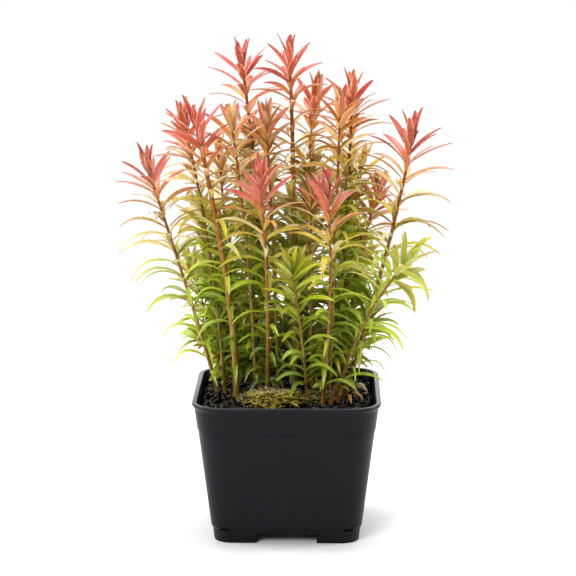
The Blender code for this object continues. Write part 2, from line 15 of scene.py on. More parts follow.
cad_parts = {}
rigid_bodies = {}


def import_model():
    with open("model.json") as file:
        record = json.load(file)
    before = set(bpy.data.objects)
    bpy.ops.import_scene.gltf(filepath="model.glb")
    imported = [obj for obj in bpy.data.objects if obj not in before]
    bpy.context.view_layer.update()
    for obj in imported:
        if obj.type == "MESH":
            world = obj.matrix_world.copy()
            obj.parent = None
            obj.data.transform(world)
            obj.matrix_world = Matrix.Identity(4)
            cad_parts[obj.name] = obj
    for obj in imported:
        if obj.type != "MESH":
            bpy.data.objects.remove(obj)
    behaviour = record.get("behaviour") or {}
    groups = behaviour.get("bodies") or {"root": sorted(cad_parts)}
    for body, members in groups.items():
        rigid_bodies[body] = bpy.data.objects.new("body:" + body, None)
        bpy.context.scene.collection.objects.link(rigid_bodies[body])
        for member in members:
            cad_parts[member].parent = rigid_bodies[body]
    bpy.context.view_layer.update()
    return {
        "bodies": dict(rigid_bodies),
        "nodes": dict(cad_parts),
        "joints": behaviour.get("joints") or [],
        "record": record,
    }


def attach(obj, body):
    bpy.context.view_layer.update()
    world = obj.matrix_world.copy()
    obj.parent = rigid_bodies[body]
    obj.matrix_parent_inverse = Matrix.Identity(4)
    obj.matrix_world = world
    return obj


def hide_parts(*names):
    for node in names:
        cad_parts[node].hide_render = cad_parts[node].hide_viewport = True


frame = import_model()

bl_info = {
    "name": "Potted Rotala",
    "version": (1, 0, 0),
    "blender": (4, 5, 0),
    "location": "View3D > Sidebar > Rotala",
    "description": "Builds the pot, bed, moss, litter, shoots and studio of a potted rotala",
    "category": "Add Mesh",
}

# The pot, as its solid has it
RIM_WIDTH = 0.0900
POT_HEIGHT = 0.0685
FOOT_WIDTH = 0.0696
WALL = 0.0013
WALL_START = 0.0353
DRAFT = 0.1265
LIP_HEIGHT = 0.0013
LIP_WIDTH = 0.0024
LIP_ROOT = 0.0014
BAND_Z = 0.0550
BAND_STEP = 0.0003
FOOT_HEIGHT = 0.0065
FOOT_SPREAD = 0.0008
FOOT_WALL = 0.0024
FLOOR_UNDERSIDE = 0.0057
FLOOR_TOP = 0.0067
RIM_CORNER = 0.0150
FOOT_CORNER = 0.0085
NOTCH_WIDTH = 0.0290
NOTCH_HEIGHT = 0.0055
SLIT_FROM = (0.0270, 0.0325, 0.0062)
SLIT_TO = (0.0320, 0.0400, 0.0072)

# Fine form of the pot
NOTCH_CORNER = 0.0012
CORNER_STEPS = 14
SIDE_STEPS = 12
FILLET_STEPS = 4
WALL_STEP = 0.006
POT_CREASE = 32

# What the pot holds, as its solids have it
GAP = 0.0003
SOIL_Z = 0.0640
MOSS_LUMP = 0.16
MOSS_WAVES = (620, 540)
MOSS = {
    "moss_patch": {"middle": (-0.0065, -0.0130), "radii": (0.0150, 0.0088), "height": 0.0064},
    "moss_tuft": {"middle": (0.0152, -0.0078), "radii": (0.0034, 0.0030), "height": 0.0068},
}
WITHERED = {
    "withered_leaf_1": {"foot": (0.0305, 0.0078), "turn": -10, "length": 0.0104, "width": 0.0034},
    "withered_leaf_2": {"foot": (0.0300, -0.0018), "turn": -36, "length": 0.0095, "width": 0.0030},
    "withered_leaf_3": {"foot": (0.0292, -0.0090), "turn": -72, "length": 0.0074, "width": 0.0026},
}
WITHERED_BOW = 0.30
CUT_STEMS = {
    "cut_stem_1": {"foot": (0.0212, -0.0150), "lean": (0.22, 0.10), "length": 0.0085, "width": 0.0020},
    "cut_stem_2": {"foot": (0.0246, -0.0118), "lean": (0.34, 0.12), "length": 0.0070, "width": 0.0017},
}

# Fine form of the bed, the moss, the dead leaves and the cut stems
BED_SINK = 0.0022
EDGE_SINK = 0.0020
BODY_SINK = 0.0004
BODY_RINGS = np.linspace(1, 0.04, 15)[:, None]
BODY_TONE = (0.35, 0.3, 0.5)
BED_REACH = 0.044
BED_SEED = 11
BED_SPACING = 0.90
ROW_PITCH = 0.866
GRANULE_STRAY = 0.30
GRANULE_SIZES = (0.68, 1.02)
UPPER_SHARES = (0.62, 0.38)
PEBBLE_GRID = (5, 8)
PEBBLE_WAVES = ((2.6, 0.11), (4.1, 0.08), (6.3, 0.05))
PEBBLE_FLAT = 0.80
MOSS_SINK = 0.0012
MOSS_LIFT = 0.0008
MOSS_BODY = 0.80
MOSS_BASE = 0.92
MOSS_STEPS = 40
MOSS_RINGS = np.array((1.0, 0.99, 0.93, 0.82, 0.66, 0.46, 0.24))[:, None]
MOSS_PIECES = {"moss_patch": ("moss_cushion", 4800), "moss_tuft": ("moss_clump", 700)}
STRAND_STATIONS = np.array((0.0, 0.28, 0.52, 0.76, 1.0))[None, :, None]
STRAND_BENDS = (1.90, 2.20)
STRAND_POINTS = 13
STRAND_SIZES = np.array((0.8, 1.0, 0.95, 0.65))[:, None, None]
STRAND_LENGTHS = (0.24, 0.52)
STRAND_WIDTHS = (0.00044, 0.00080)
FELTED = 0.42
WITHERED_WIDE = 1.15
WITHERED_CUP = -1.6
CUT_CREASE = 50
CUT_SIDES = 14
CUT_SHARES = np.array((-0.12, 0.0, 0.15, 0.42, 0.48, 0.54, 0.80, 0.97, 1.0, 1.0, 0.96))[:, None, None]
CUT_SIZES = np.array((1.15, 1.10, 1.0, 1.0, 1.18, 1.0, 0.98, 0.98, 0.92, 0.62, 0.30))[:, None, None]
CUT_JOINTS = np.array((1.4, 1.4, 1.4, 1.4, 1.7, 1.4, 1.4, 1.4, 0.8, 0.5, 0.5))[:, None]
CUT_RED = 0.42

# Each shoot, as its solid has it, in millimetres: x and y of its foot, x, y and z of its
# stem's middle and of its end, and its width at the foot. Then the turn of its first leaves
# in degrees, the length of its leaves against the usual one, the ripeness of its crown, from
# green at 0 to deep red at 1, and its colour: red, orange or green
SHOOTS = {
    "tallest": (3, 4, 3, 2, 156, 1, -2, 228, 2.7, 6, 1.00, 0.90, "red"),
    "top_left": (-13, 10, -15, 10, 154, -22, 6, 225, 2.5, -8, 1.00, 0.93, "red"),
    "top_right": (23, 12, 28, 14, 144, 31, 12, 210, 2.5, 10, 1.00, 0.86, "red"),
    "left_thick": (-25, 0, -29, -9, 121, -42, -22, 198, 2.9, 14, 1.15, 0.96, "red"),
    "right_outer": (28, 4, 47, 2, 132, 59.2, 0, 189, 2.4, -4, 1.18, 0.98, "red"),
    "left_outer": (-35, 11, -46.5, 4, 108, -65.8, -8, 175, 2.2, 4, 1.05, 0.92, "red"),
    "front_red": (-10, -2, -9.5, -17, 120, -12, -35, 173, 2.3, 20, 1.08, 0.97, "red"),
    "front_right": (17, -13, 20.5, -24, 121, 19, -38, 169, 2.2, -16, 1.05, 0.96, "red"),
    "orange_right": (20, -2, 23, -4, 142, 25, -6, 204, 2.2, 24, 1.00, 0.74, "orange"),
    "orange_left": (-15.5, -1, -19, -11, 136, -26, -15, 198, 2.1, -20, 0.95, 0.72, "orange"),
    "centre": (-4.5, -0.5, -7, -7, 142, -10, -8, 198, 2, 38, 0.95, 0.75, "orange"),
    "left_twin": (-31, 9, -38, 3, 135, -49, 0, 196, 2.1, -26, 1.00, 0.85, "red"),
    "right_low": (24, -5, 36, -13, 101, 56, -22, 134, 2.1, 12, 1.15, 0.27, "green"),
    "front_low": (10, -14, 6, -24, 107, 2, -34, 132, 1.8, -30, 1.00, 0.26, "green"),
    "left_short": (-32, 19, -39, 24, 92, -48, 30, 122, 1.7, 30, 0.90, 0.33, "green"),
    "back_orange": (-25, 18, -30, 24, 127, -34, 28, 178, 1.9, 16, 1.00, 0.70, "orange"),
    "back_tall": (10, 24, 9, 32, 146, 13, 35, 207, 2, -12, 0.92, 0.80, "red"),
    "brown": (12, -3, 11, -8, 128, 12, -15, 166, 1.8, 34, 0.85, 0.66, "orange"),
    "right_tip": (28, 19, 33, 24, 117, 44, 30, 159, 1.8, -34, 0.95, 0.82, "red"),
    "back_right": (24, 27, 30, 34, 130, 36, 38, 172, 1.8, 8, 0.92, 0.44, "green"),
    "back_olive": (-19, 26, -17, 32, 131, -18, 38, 169, 1.8, -18, 0.95, 0.47, "green"),
    "back_left": (-26, 29, -36, 34, 112, -46, 37, 150, 1.8, 26, 0.90, 0.60, "green"),
    "back_low": (0, 31, 0, 36, 100, 2, 40, 128, 1.7, -6, 0.85, 0.36, "green"),
}
STEM_END_WIDTH = 0.0012
STEM_TAPER = 0.7
STEM_SAMPLES = 241
STEM_STEP = 0.001
BARE_FOOT = 0.0075

# How leaves sit along a stem, as the solids have them
SEED = 7
FIRST_NODE = 0.0006
CROWN_SPACING = 0.0018
STEM_SPACING = 0.0079
SPACING_REACH = 0.028
LEAF_LENGTH = 0.0200
YOUNG_SHARE = 0.30
YOUNG_REACH = 0.0065
OLD_SHARE = 0.22
OLD_REACH = 0.110
OLD_POWER = 1.5
LEAF_WIDTH = 0.0031
LEAF_BELLY = 0.8
LEAF_SINK = 0.36
CROWN_RISE = 82
STEM_RISE = 31
RISE_REACH = 0.014
DROOP = 42
DROOP_REACH = 0.045
YAW = 13
YAW_EASE = 42
LIFT = 6
LIFT_EASE = 24
ROLL = 20
DROOP_CHANCE = 0.25
LENGTH_CHANCE = 0.10
LENGTH_EASE = 0.5
TRIES = 26
CELL = 0.0008
ROOM_LOW = np.array((-0.096, -0.096, 0.055))
ROOM_CELLS = (240, 240, 256)
LEAF_STATIONS = np.linspace(0, 1, 25)[:, None]
RIM_BAND = (-0.006, 0.002)
LOWEST_LEAF = 0.0665
ABOVE_RIM = 0.0705
LITTER = {"low": (0.0195, -0.0180), "high": (0.0430, 0.0110), "top": 0.0735}

# Leaves that only the surface has: crowded ones, pairs between two pairs, tufts in the axils,
# sprigs low on the stems behind and the youngest ones over each stem
CROWDED = 0.45
PAIRS_FROM = 0.006
PAIR_SHARE = 0.92
OUTSIDE = 0.036
OUTSIDE_SHARES = (0.72, 0.98)
BETWEEN_EASE = 0.12
BETWEEN_SCALES = (0.98, 0.14)
TUFTS_FROM = 0.034
TUFT_SHARE = 0.85
FRONT_TUFTS = 0.4
FRONT_LIMIT = -0.25
AXIL_RISE = 0.0006
AXIL_RANKS = 6
SMALL_TURNS = (0.75, 0.3, 0.4)
SMALL_RISES = (44, 18, 14, 26)
SMALL_LENGTHS = (0.0072, 0.0030)
SMALL_BOW = 0.12
SMALL_BEHIND = (1.60, 1.3, 0.0030)
SMALL_BEFORE = (1.15, 0.4, 0.0021)
BEHIND = (0.042, 0.002)
LOW_FROM = 0.008
LOW_SIDE = 0.0275
LOW_SPRIGS = (0.0030, 0.0055, 0.0080, 0.0105, 0.0130, 0.0160, 0.0190, 0.0220)
SPRIG_WIDE = 1.5
HEART_ABOVE = 0.004
HEART_LEANS = (5, 15)
HEART_LENGTHS = (0.0128, 0.0080)
HEART_WIDTHS = (0.0025, 0.0020)
CLUMP_MIDDLE = np.array((0.0, 0.008))

# Fine form of a leaf: rings along it and points round it, as shares of its half width, with
# their lift by its cup and whether they are its groove or its keel
BLADE_RINGS = np.array((0.0, 0.06, 0.17, 0.32, 0.48, 0.64, 0.79, 0.91, 0.975))
BLADE_SIDE = np.array((-1.0, -0.5, 0.0, 0.5, 1.0, 0.0))
BLADE_CUP = np.array((1.0, 0.36, 0.0, 0.36, 1.0, 0.0))
BLADE_DROP = np.array((0.0, 0.0, 0.10, 0.0, 0.0, 1.0))
BLADE_BELLY = 0.92
BLADE_BLUNT = 0.62
BLADE_FOOT = 0.24
OPENING = 16
OPENING_REACHES = (0.0018, 0.020)
GREEN_OPENING = 1.7
FRONT_OPENINGS = {"front_right": -0.30, "front_red": 0.70}
OUTER_GAIN = 0.17
OUTER_FROM = 0.022
OUTER_REACH = 0.030
OUTER_BELOW = (0.012, 0.020)
LOW_LOSS = 0.18
LOW_TOP = 0.130
LOW_REACH = 0.030
YOUNG_GAIN = 0.34
YOUNG_LEAVES = 0.013
ROLL_SPREAD = 0.28
ROLL_TO_FRONT = 0.24
LEVEL_FROM = 0.105
HOOK = 0.11
HOOK_REACH = 0.030
STEM_SIDES = 10
STEM_RING = 0.0009
STEM_SHARES = ((0.0018, 0.0022, 0.0029), (0.38, 0.41, 0.54))
JOINT = (0.0003, 0.0008)
JOINT_GAIN = 0.20
FOOT_GAIN = (0.25, 0.0025)
STEM_SINK = 0.0018
STEM_RED_REACH = 0.080
LEAF_CREASE = 55
CUP_CHANCES = (0.35, 1.5)
SWAY = 0.045
RIPPLE = 0.045
TWIST = 0.20
BOW_CHANCES = (0.75, 1.40)
BREADTH_CHANCES = (0.86, 1.12)
SIGNATURE_ROLL = 0.40

# How ripe leaves are under their crown, by their height, and in the heart
RIPE_HEIGHTS = (0.105, 0.100)
RIPE_LOW = 0.115
RIPE_GAIN = 0.45
RIPE_POWER = 1.3
HEART_REACH = 0.0030
HEART_PALER = 0.14
HEART_RIPEST = 0.72
HEART_SHARE = 0.60
CROWN_REACH = 0.027

# How far leaves are in the clump's shade, which their colour paints darker: its middle, and
# reaches sideways and in height. Leaves past the open sides, the left more than the right, go
# below zero and are painted paler instead, as if backlit
SHADE_MIDDLE = (0.0, 0.006)
SHADE_REACH = 0.045
SHADE_TOP = (0.165, 0.09)
SHADE_DEEP = (0.096, 0.025)
OPEN_SIDES = (0.040, 0.025)
OPEN_SHARES = (1.0, 0.35)

# Leaves that the photo shows plainly: distance below the stem's end, turn and rise in
# degrees, length, width and bow against the length
SIGNATURE_LEAVES = {
    "right_low": (
        (0.0004, -8, 50, 0.0185, 0.0043, 0.04),
        (0.0050, -6, -22, 0.0205, 0.0024, 0.20),
        (0.0110, -30, -34, 0.0190, 0.0026, 0.24),
        (0.0400, -12, -24, 0.0225, 0.0034, 0.17),
        (0.0440, 8, -8, 0.0180, 0.0028, 0.16),
        (0.0700, -8, -26, 0.0092, 0.0036, 0.20),
        (0.0735, -40, -4, 0.0068, 0.0024, 0.16),
        (0.0745, -80, 10, 0.0055, 0.0022, 0.14),
    ),
    "left_outer": (
        (0.0330, 186, -14, 0.0225, 0.0024, 0.17),
        (0.0480, 176, -18, 0.0230, 0.0027, 0.16),
        (0.0560, 190, -4, 0.0190, 0.0026, 0.15),
        (0.0690, 180, -10, 0.0200, 0.0026, 0.15),
    ),
    "right_outer": (
        (0.0300, 4, 10, 0.0210, 0.0025, 0.13),
        (0.0440, -4, 0, 0.0220, 0.0026, 0.16),
    ),
    "front_red": (
        (0.0870, -4, -35, 0.0110, 0.0031, 0.20),
        (0.0880, 184, -25, 0.0122, 0.0029, 0.20),
        (0.0950, -2, -15, 0.0115, 0.0031, 0.20),
        (0.1050, 0, -22, 0.0108, 0.0031, 0.20),
        (0.1060, 182, -22, 0.0122, 0.0031, 0.20),
    ),
    "front_low": (
        (0.0460, 182, -12, 0.0120, 0.0029, 0.19),
        (0.0500, -6, -16, 0.0112, 0.0029, 0.19),
        (0.0620, 184, -20, 0.0092, 0.0028, 0.19),
    ),
    "front_right": (
        (0.0820, 2, -30, 0.0120, 0.0030, 0.20),
        (0.0840, 180, -14, 0.0110, 0.0030, 0.18),
        (0.1000, 190, 2, 0.0062, 0.0022, 0.16),
        (0.1005, 250, 6, 0.0056, 0.0022, 0.16),
    ),
    "left_thick": (
        (0.0240, 184, 14, 0.0210, 0.0024, 0.12),
        (0.0400, 176, 0, 0.0215, 0.0026, 0.15),
    ),
}

# The camera: a long lens at the pot's front, a little to its right and above it
CAMERA_AIM = np.array((0.0002, 0.0, 0.11774))
CAMERA_AWAY = 1.0999
CAMERA_RISE = 0.19172
CAMERA_TURN = 0.01842
CAMERA_LENS = 142.04
CAMERA_NEAR = 0.05
FLOOR_Z = -0.00005
FLOOR_STEPS = 96
FLOOR_RADIUS = 0.75
FLOOR_FADE = 0.16

# Each light's setting, place, size and colour
LIGHT_AIM = np.array((0.0, 0.0, 0.12))
LIGHTS = {
    "key_light": ("key", (-0.55, -1.15, 0.95), (0.7, 0.7), (1.0, 0.985, 0.96)),
    "left_light": ("side", (-1.00, 0.10, 0.50), (0.5, 1.0), (1.0, 1.0, 1.0)),
    "right_light": ("side", (1.00, 0.10, 0.50), (0.5, 1.0), (1.0, 1.0, 1.0)),
    "top_light": ("top", (0.02, 0.30, 1.30), (1.0, 0.8), (1.0, 1.0, 1.0)),
    "back_light": ("back", (-0.10, 1.10, 0.45), (1.1, 0.6), (1.0, 1.0, 1.0)),
}


# Settings


def number_property(name, description, default, low=0.0, high=100.0, **kind):
    """A number that a user may change."""
    return FloatProperty(name=name, description=description, default=default, min=low, max=high, **kind)


def length_property(name, description, default, low, high):
    """A length that a user may change, in metres."""
    return number_property(
        name, description, default, low, high, subtype="DISTANCE", unit="LENGTH", precision=5)


def colour_property(name, description, default):
    """A colour that a user may change, in linear values."""
    return FloatVectorProperty(
        name=name, description=description, subtype="COLOR", size=3, min=0.0, max=1.0, default=default)


class ROTALA_PG_pot(PropertyGroup):
    """Finish of the pot."""

    plastic: colour_property("Plastic", "Colour of the moulded plastic", (0.0022, 0.0022, 0.0046))
    scuff: colour_property("Scuffs", "Colour of rubbed places on the plastic", (0.050, 0.050, 0.056))
    roughness: number_property("Roughness", "Roughness of the clean plastic", 0.40, 0.05, 1.0)
    fillet: length_property("Edge radius", "Radius of the lip's edges", 0.00055, 0.0001, 0.0006)


class ROTALA_PG_bed(PropertyGroup):
    """Granules and moss."""

    granule: length_property("Granule size", "Usual width of a granule", 0.0034, 0.0020, 0.0050)
    clay_dark: colour_property("Dark clay", "Colour of the granules' shaded clay", (0.0008, 0.0007, 0.0007))
    clay_pale: colour_property("Pale clay", "Colour of the granules' driest faces", (0.230, 0.185, 0.155))
    moss_olive: colour_property("Olive moss", "Colour of the moss in front", (0.700, 0.560, 0.050))
    moss_tan: colour_property("Tan moss", "Colour of the moss on its crest", (0.740, 0.570, 0.290))
    moss_grey: colour_property("Grey moss", "Colour of the moss at its left end", (0.420, 0.430, 0.150))
    strand: length_property("Strand length", "Usual length of a moss strand", 0.0036, 0.0010, 0.0060)


class ROTALA_PG_foliage(PropertyGroup):
    """Colours of leaves and stems and the fine form of the leaves."""

    # Also the colour of the painted shade laid over leaves inside the clump.
    deep_green_and_shade: colour_property("Deep green", "Oldest leaves, inside the clump", (0.026, 0.066, 0.003))
    green: colour_property("Green", "Low leaves", (0.360, 0.600, 0.013))
    yellow_green: colour_property("Yellow green", "Leaves half way up", (0.620, 0.565, 0.030))
    olive: colour_property("Olive", "Leaves under the crowns", (0.640, 0.455, 0.050))
    orange: colour_property("Orange", "Orange crowns and hearts", (0.640, 0.245, 0.040))
    coral: colour_property("Coral", "Outer leaves of red crowns", (0.560, 0.068, 0.086))
    red: colour_property("Red", "Inner leaves of red crowns", (0.390, 0.028, 0.046))
    stem_top: colour_property("Stem top", "Stem under a crown", (0.320, 0.072, 0.012))
    stem_foot: colour_property("Stem foot", "Stem near the granules", (0.310, 0.240, 0.036))
    thickness: length_property("Leaf thickness", "Thickness at a leaf's midrib", 0.00034, 0.0001, 0.0010)
    breadth: number_property("Leaf breadth", "Breadth of a leaf against its solid's", 0.98, 0.8, 1.8)
    cup: number_property("Leaf cup", "Rise of a leaf's edges against its half width", 0.30, 0.0, 1.0)


class ROTALA_PG_stage(PropertyGroup):
    """Floor and lights."""

    floor: colour_property("Floor", "Colour of the floor", (0.76, 0.76, 0.78))
    key: number_property("Key light", "Power of the front light", 18.5)
    side: number_property("Side lights", "Power of each side light", 11.0)
    top: number_property("Top light", "Power of the light overhead", 20.0)
    back: number_property("Back light", "Power of the light behind", 5.0)


# Shader maths


def plug(tree, entry, value):
    """Links a wrapped socket to an entry, or sets the entry's own value."""
    if isinstance(value, Value):
        tree.links.new(value.socket, entry)
    elif entry.type == "RGBA" and len(value) == 3:
        entry.default_value = (*value, 1.0)
    else:
        entry.default_value = value


def both_ways(operation):
    """An operator's two methods: for the value in the first place and in the second."""
    def forward(self, other):
        return self.maths(operation, self, other)

    def reflected(self, other):
        return self.maths(operation, other, self)

    return forward, reflected


class Value:
    """A shader socket: an expression on values adds its Math nodes to the tree."""

    __add__, __radd__ = both_ways("ADD")
    __sub__, __rsub__ = both_ways("SUBTRACT")
    __mul__, __rmul__ = both_ways("MULTIPLY")
    __truediv__, __rtruediv__ = both_ways("DIVIDE")
    __pow__, __rpow__ = both_ways("POWER")

    def __init__(self, tree, socket):
        self.tree = tree
        self.socket = socket

    def maths(self, operation, *terms, clamp=False):
        """The result of one Math node on these terms."""
        node = self.tree.nodes.new("ShaderNodeMath")
        node.operation = operation
        node.use_clamp = clamp
        for entry, term in zip(node.inputs, terms):
            plug(self.tree, entry, term)
        return Value(self.tree, node.outputs[0])

    def size(self):
        """The value without its sign."""
        return self.maths("ABSOLUTE", self)

    def wave(self):
        """The sine of the value."""
        return self.maths("SINE", self)

    def between(self, low, high):
        """0 at low, 1 at high, straight between them and level outside."""
        return self.maths("MULTIPLY", self - low, 1.0 / (high - low), clamp=True)


class Shading:
    """A tree of shader nodes that other nodes are added to."""

    def __init__(self, tree):
        self.tree = tree

    def node(self, kind, settings=None, inputs=None, output=0):
        """A node of a type: its settings first, then its sockets' values or links."""
        made = self.tree.nodes.new(kind)
        for name, value in (settings or {}).items():
            if name == "stops":
                ramp = made.color_ramp
                ramp.interpolation = "B_SPLINE"
                while len(ramp.elements) < len(value):
                    ramp.elements.new(0.5)
                for stop, (position, colour) in zip(ramp.elements, value):
                    stop.position = position
                    stop.color = (*colour, 1.0)
            else:
                setattr(made, name, value)
        for name, value in (inputs or {}).items():
            plug(self.tree, made.inputs[name], value)
        return Value(self.tree, made.outputs[output])


class Finish(Shading):
    """One material: its node tree, its Principled shader and what feeds it."""

    def __init__(self, name, **constants):
        self.material = bpy.data.materials.new(name)
        self.material.use_nodes = True
        super().__init__(self.material.node_tree)
        self.shader = self.tree.nodes["Principled BSDF"]
        self.feed(**constants)
        self.place = self.node("ShaderNodeTexCoord", output="Object")

    def mix(self, factor, first, second):
        """The first colour at factor 0 and the second at factor 1."""
        return self.node(
            "ShaderNodeMix", {"data_type": "RGBA", "clamp_factor": True},
            {0: factor, 6: first, 7: second}, output=2)

    def layers(self, colour, *coats):
        """A colour with others laid over it in turn, each by its own factor."""
        for factor, over in coats:
            colour = self.mix(factor, colour, over)
        return colour

    def noise(self, scale, detail=2.0, stretch=None, roughness=0.5):
        """Cloudy noise over the piece, from 0 to 1."""
        place = self.place
        if stretch is not None:
            place = self.node("ShaderNodeMapping", None, {"Vector": place, "Scale": stretch})
        return self.node(
            "ShaderNodeTexNoise", None,
            {"Vector": place, "Scale": scale, "Detail": detail, "Roughness": roughness})

    def parts(self, vector):
        """The three numbers of a vector."""
        first = self.node("ShaderNodeSeparateXYZ", None, {"Vector": vector})
        return [Value(self.tree, output) for output in first.socket.node.outputs]

    def attribute(self, name):
        """The three numbers that a piece keeps for each of its points under a name."""
        return self.parts(self.node("ShaderNodeAttribute", {"attribute_name": name}, None, "Vector"))

    def feed(self, **values):
        """Links values to entries of the Principled shader, or sets them there."""
        for socket, value in values.items():
            plug(self.tree, self.shader.inputs[socket.replace("_", " ")], value)

    def bump(self, height, distance, strength):
        """Relief of a height from 0 to 1, this many metres deep."""
        self.feed(Normal=self.node(
            "ShaderNodeBump", None, {"Height": height, "Distance": distance, "Strength": strength}))


# Meshes


def grid_quads(rows, columns):
    """Quads between neighbouring points of a grid, each row joined to the next and the last
    column to the first."""
    row = np.arange(rows - 1)[:, None] * columns
    here = np.arange(columns)[None, :]
    ahead = (here + 1) % columns
    quads = np.stack([row + here, row + ahead, row + columns + ahead, row + columns + here], axis=-1)
    return quads.reshape(-1, 4)


def fan(ring, tip):
    """Triangles from each step round a ring to one point."""
    ring = np.asarray(ring)
    return np.column_stack([ring, np.roll(ring, -1), np.full(len(ring), tip)])


def tube_faces(rows, around):
    """Faces of a closed tube: its rows joined round and along, and its first and last row
    closed by fans to the two points that follow the rows."""
    ring, count = np.arange(around), rows * around
    return [grid_quads(rows, around), fan(ring[::-1], count), fan(count - around + ring, count + 1)]


def repeat_faces(faces, times, points_each):
    """The faces of one shape repeated for many copies of it that follow each other."""
    faces = np.asarray(faces)
    starts = np.arange(times)[:, None, None] * points_each
    return (faces[None] + starts).reshape(-1, faces.shape[1])


class Pile:
    """Surfaces that become one mesh, with up to two sets of three numbers for each point."""

    def __init__(self):
        self.points, self.tone, self.blade = [], [], []
        self.faces, self.looks = [], []
        self.count = 0

    def add(self, points, faces, tone, blade=None, look=0):
        """Adds points and lists of faces on them, with their tone and blade numbers."""
        points = np.asarray(points, float).reshape(-1, 3)
        blade = np.zeros(3) if blade is None else np.asarray(blade, float)
        for numbers, store in ((tone, self.tone), (blade, self.blade)):
            store.append(np.broadcast_to(np.asarray(numbers, float).reshape(-1, 3), points.shape))
        self.points.append(points)
        for some in faces:
            self.faces.append(np.asarray(some) + self.count)
            self.looks.append(np.full(len(some), look))
        self.count += len(points)

    def make(self, name, looks, crease=None):
        """One piece at the origin from all that was added, smooth up to the crease angle."""
        mesh = bpy.data.meshes.new(name)
        points = np.concatenate(self.points)
        sizes = np.concatenate([np.full(len(some), some.shape[1]) for some in self.faces])
        corners = np.concatenate([some.ravel() for some in self.faces])
        mesh.vertices.add(len(points))
        mesh.vertices.foreach_set("co", points.astype(np.float32).ravel())
        mesh.loops.add(len(corners))
        mesh.loops.foreach_set("vertex_index", corners.astype(np.int32))
        mesh.polygons.add(len(sizes))
        starts = np.concatenate([[0], np.cumsum(sizes)[:-1]])
        mesh.polygons.foreach_set("loop_start", starts.astype(np.int32))
        mesh.polygons.foreach_set("material_index", np.concatenate(self.looks).astype(np.int32))
        mesh.update(calc_edges=True)
        if mesh.validate():
            raise RuntimeError(f"{name} has faces that don't fit together")
        for key, store in (("tone", self.tone), ("blade", self.blade)):
            kept = mesh.attributes.new(key, "FLOAT_VECTOR", "POINT")
            kept.data.foreach_set("vector", np.concatenate(store).astype(np.float32).ravel())
        mesh.shade_smooth()
        if crease is not None:
            mesh.set_sharp_from_angle(angle=math.radians(crease))
        for look in looks:
            mesh.materials.append(look)
        piece = bpy.data.objects.new(name, mesh)
        bpy.context.collection.objects.link(piece)
        return piece


def place_piece(piece, nodes):
    """Lets a piece ride with the pot and stand for its solids, which it hides."""
    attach(piece, "root")
    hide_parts(*nodes)


# Pot


def rounded_square(half, corner, z):
    """Rows of points round squares with round corners, anticlockwise seen from above: each
    side is straight and each corner a quarter circle. Takes arrays of half width, corner
    radius and height, one row each."""
    turn = np.linspace(0, math.pi / 2, CORNER_STEPS + 1)
    side = np.linspace(0, 1, SIDE_STEPS + 1)[1:-1]
    half, corner, z = (np.atleast_1d(values)[:, None] for values in (half, corner, z))
    reach = half - corner
    x_parts, y_parts = [], []
    for quarter in range(4):
        cos, sin = round(math.cos(quarter * math.pi / 2)), round(math.sin(quarter * math.pi / 2))
        angle = turn + quarter * math.pi / 2
        x_parts.append(reach * (cos - sin) + corner * np.cos(angle))
        y_parts.append(reach * (sin + cos) + corner * np.sin(angle))
        start_x, start_y = x_parts[-1][:, -1:], y_parts[-1][:, -1:]
        x_parts.append(start_x + (-2 * reach * cos) * side)
        y_parts.append(start_y + (-2 * reach * sin) * side)
    x, y = np.concatenate(x_parts, axis=1), np.concatenate(y_parts, axis=1)
    return np.stack([x, y, np.broadcast_to(z, x.shape)], axis=-1)


def wall_half(z):
    """Half the pot's width below its upper band, at a height."""
    return WALL_START + DRAFT * z


def corner_at(z):
    """Outer corner radius of the pot at a height."""
    return FOOT_CORNER + (RIM_CORNER - FOOT_CORNER) * z / POT_HEIGHT


def round_off(profile, radii):
    """A profile with its corners replaced by arcs: points on the circle that touches both
    neighbouring lines, as a quadratic curve between the two places where it touches."""
    profile = np.asarray(profile, float)
    share = np.linspace(0, 1, FILLET_STEPS + 1)[:, None]
    rows = [profile[:1]]
    for before, here, after, radius in zip(profile, profile[1:], profile[2:], radii[1:]):
        if radius == 0:
            rows.append(here[None])
            continue
        back, ahead = before - here, after - here
        back_length, ahead_length = np.linalg.norm(back[:2]), np.linalg.norm(ahead[:2])
        start = here + back * min(radius / back_length, 0.45)
        finish = here + ahead * min(radius / ahead_length, 0.45)
        rows.append(start * (1 - share) ** 2 + here * 2 * share * (1 - share) + finish * share**2)
    rows.append(profile[-1:])
    return np.concatenate(rows)


def cut(target, name, points, faces):
    """Cuts a closed form out of the target and applies the cut."""
    mesh = bpy.data.meshes.new(name)
    mesh.from_pydata([tuple(point) for point in points], [], [tuple(map(int, f)) for f in faces])
    tool = bpy.data.objects.new(name, mesh)
    bpy.context.collection.objects.link(tool)
    hole = target.modifiers.new(name, "BOOLEAN")
    hole.operation = "DIFFERENCE"
    hole.solver = "EXACT"
    hole.object = tool
    bpy.context.view_layer.objects.active = target
    bpy.ops.object.modifier_apply(modifier=name)
    bpy.data.objects.remove(tool, do_unlink=True)


def notch_form(width, height, corner, along_x):
    """A long bar with round upper edges: its section carried from one side to the other."""
    angle = np.linspace(0, math.pi / 2, 6)
    arc = np.column_stack([
        width / 2 - corner + corner * np.cos(angle), height - corner + corner * np.sin(angle)])
    section = np.concatenate([[(width / 2, -height)], arc, arc[::-1] * (-1, 1), [(-width / 2, -height)]])
    count = len(section)
    low = np.column_stack([section[:, 0], np.full(count, -RIM_WIDTH), section[:, 1]])
    high = low * (1, -1, 1)
    points = np.concatenate([low, high])
    quads = [(n, (n + 1) % count, count + (n + 1) % count, count + n) for n in range(count)]
    faces = [tuple(reversed(quad)) for quad in quads]
    faces += [tuple(range(count)), tuple(reversed(range(count, 2 * count)))]
    if along_x:
        points = points[:, (1, 0, 2)] * (-1, 1, 1)
    return points, faces


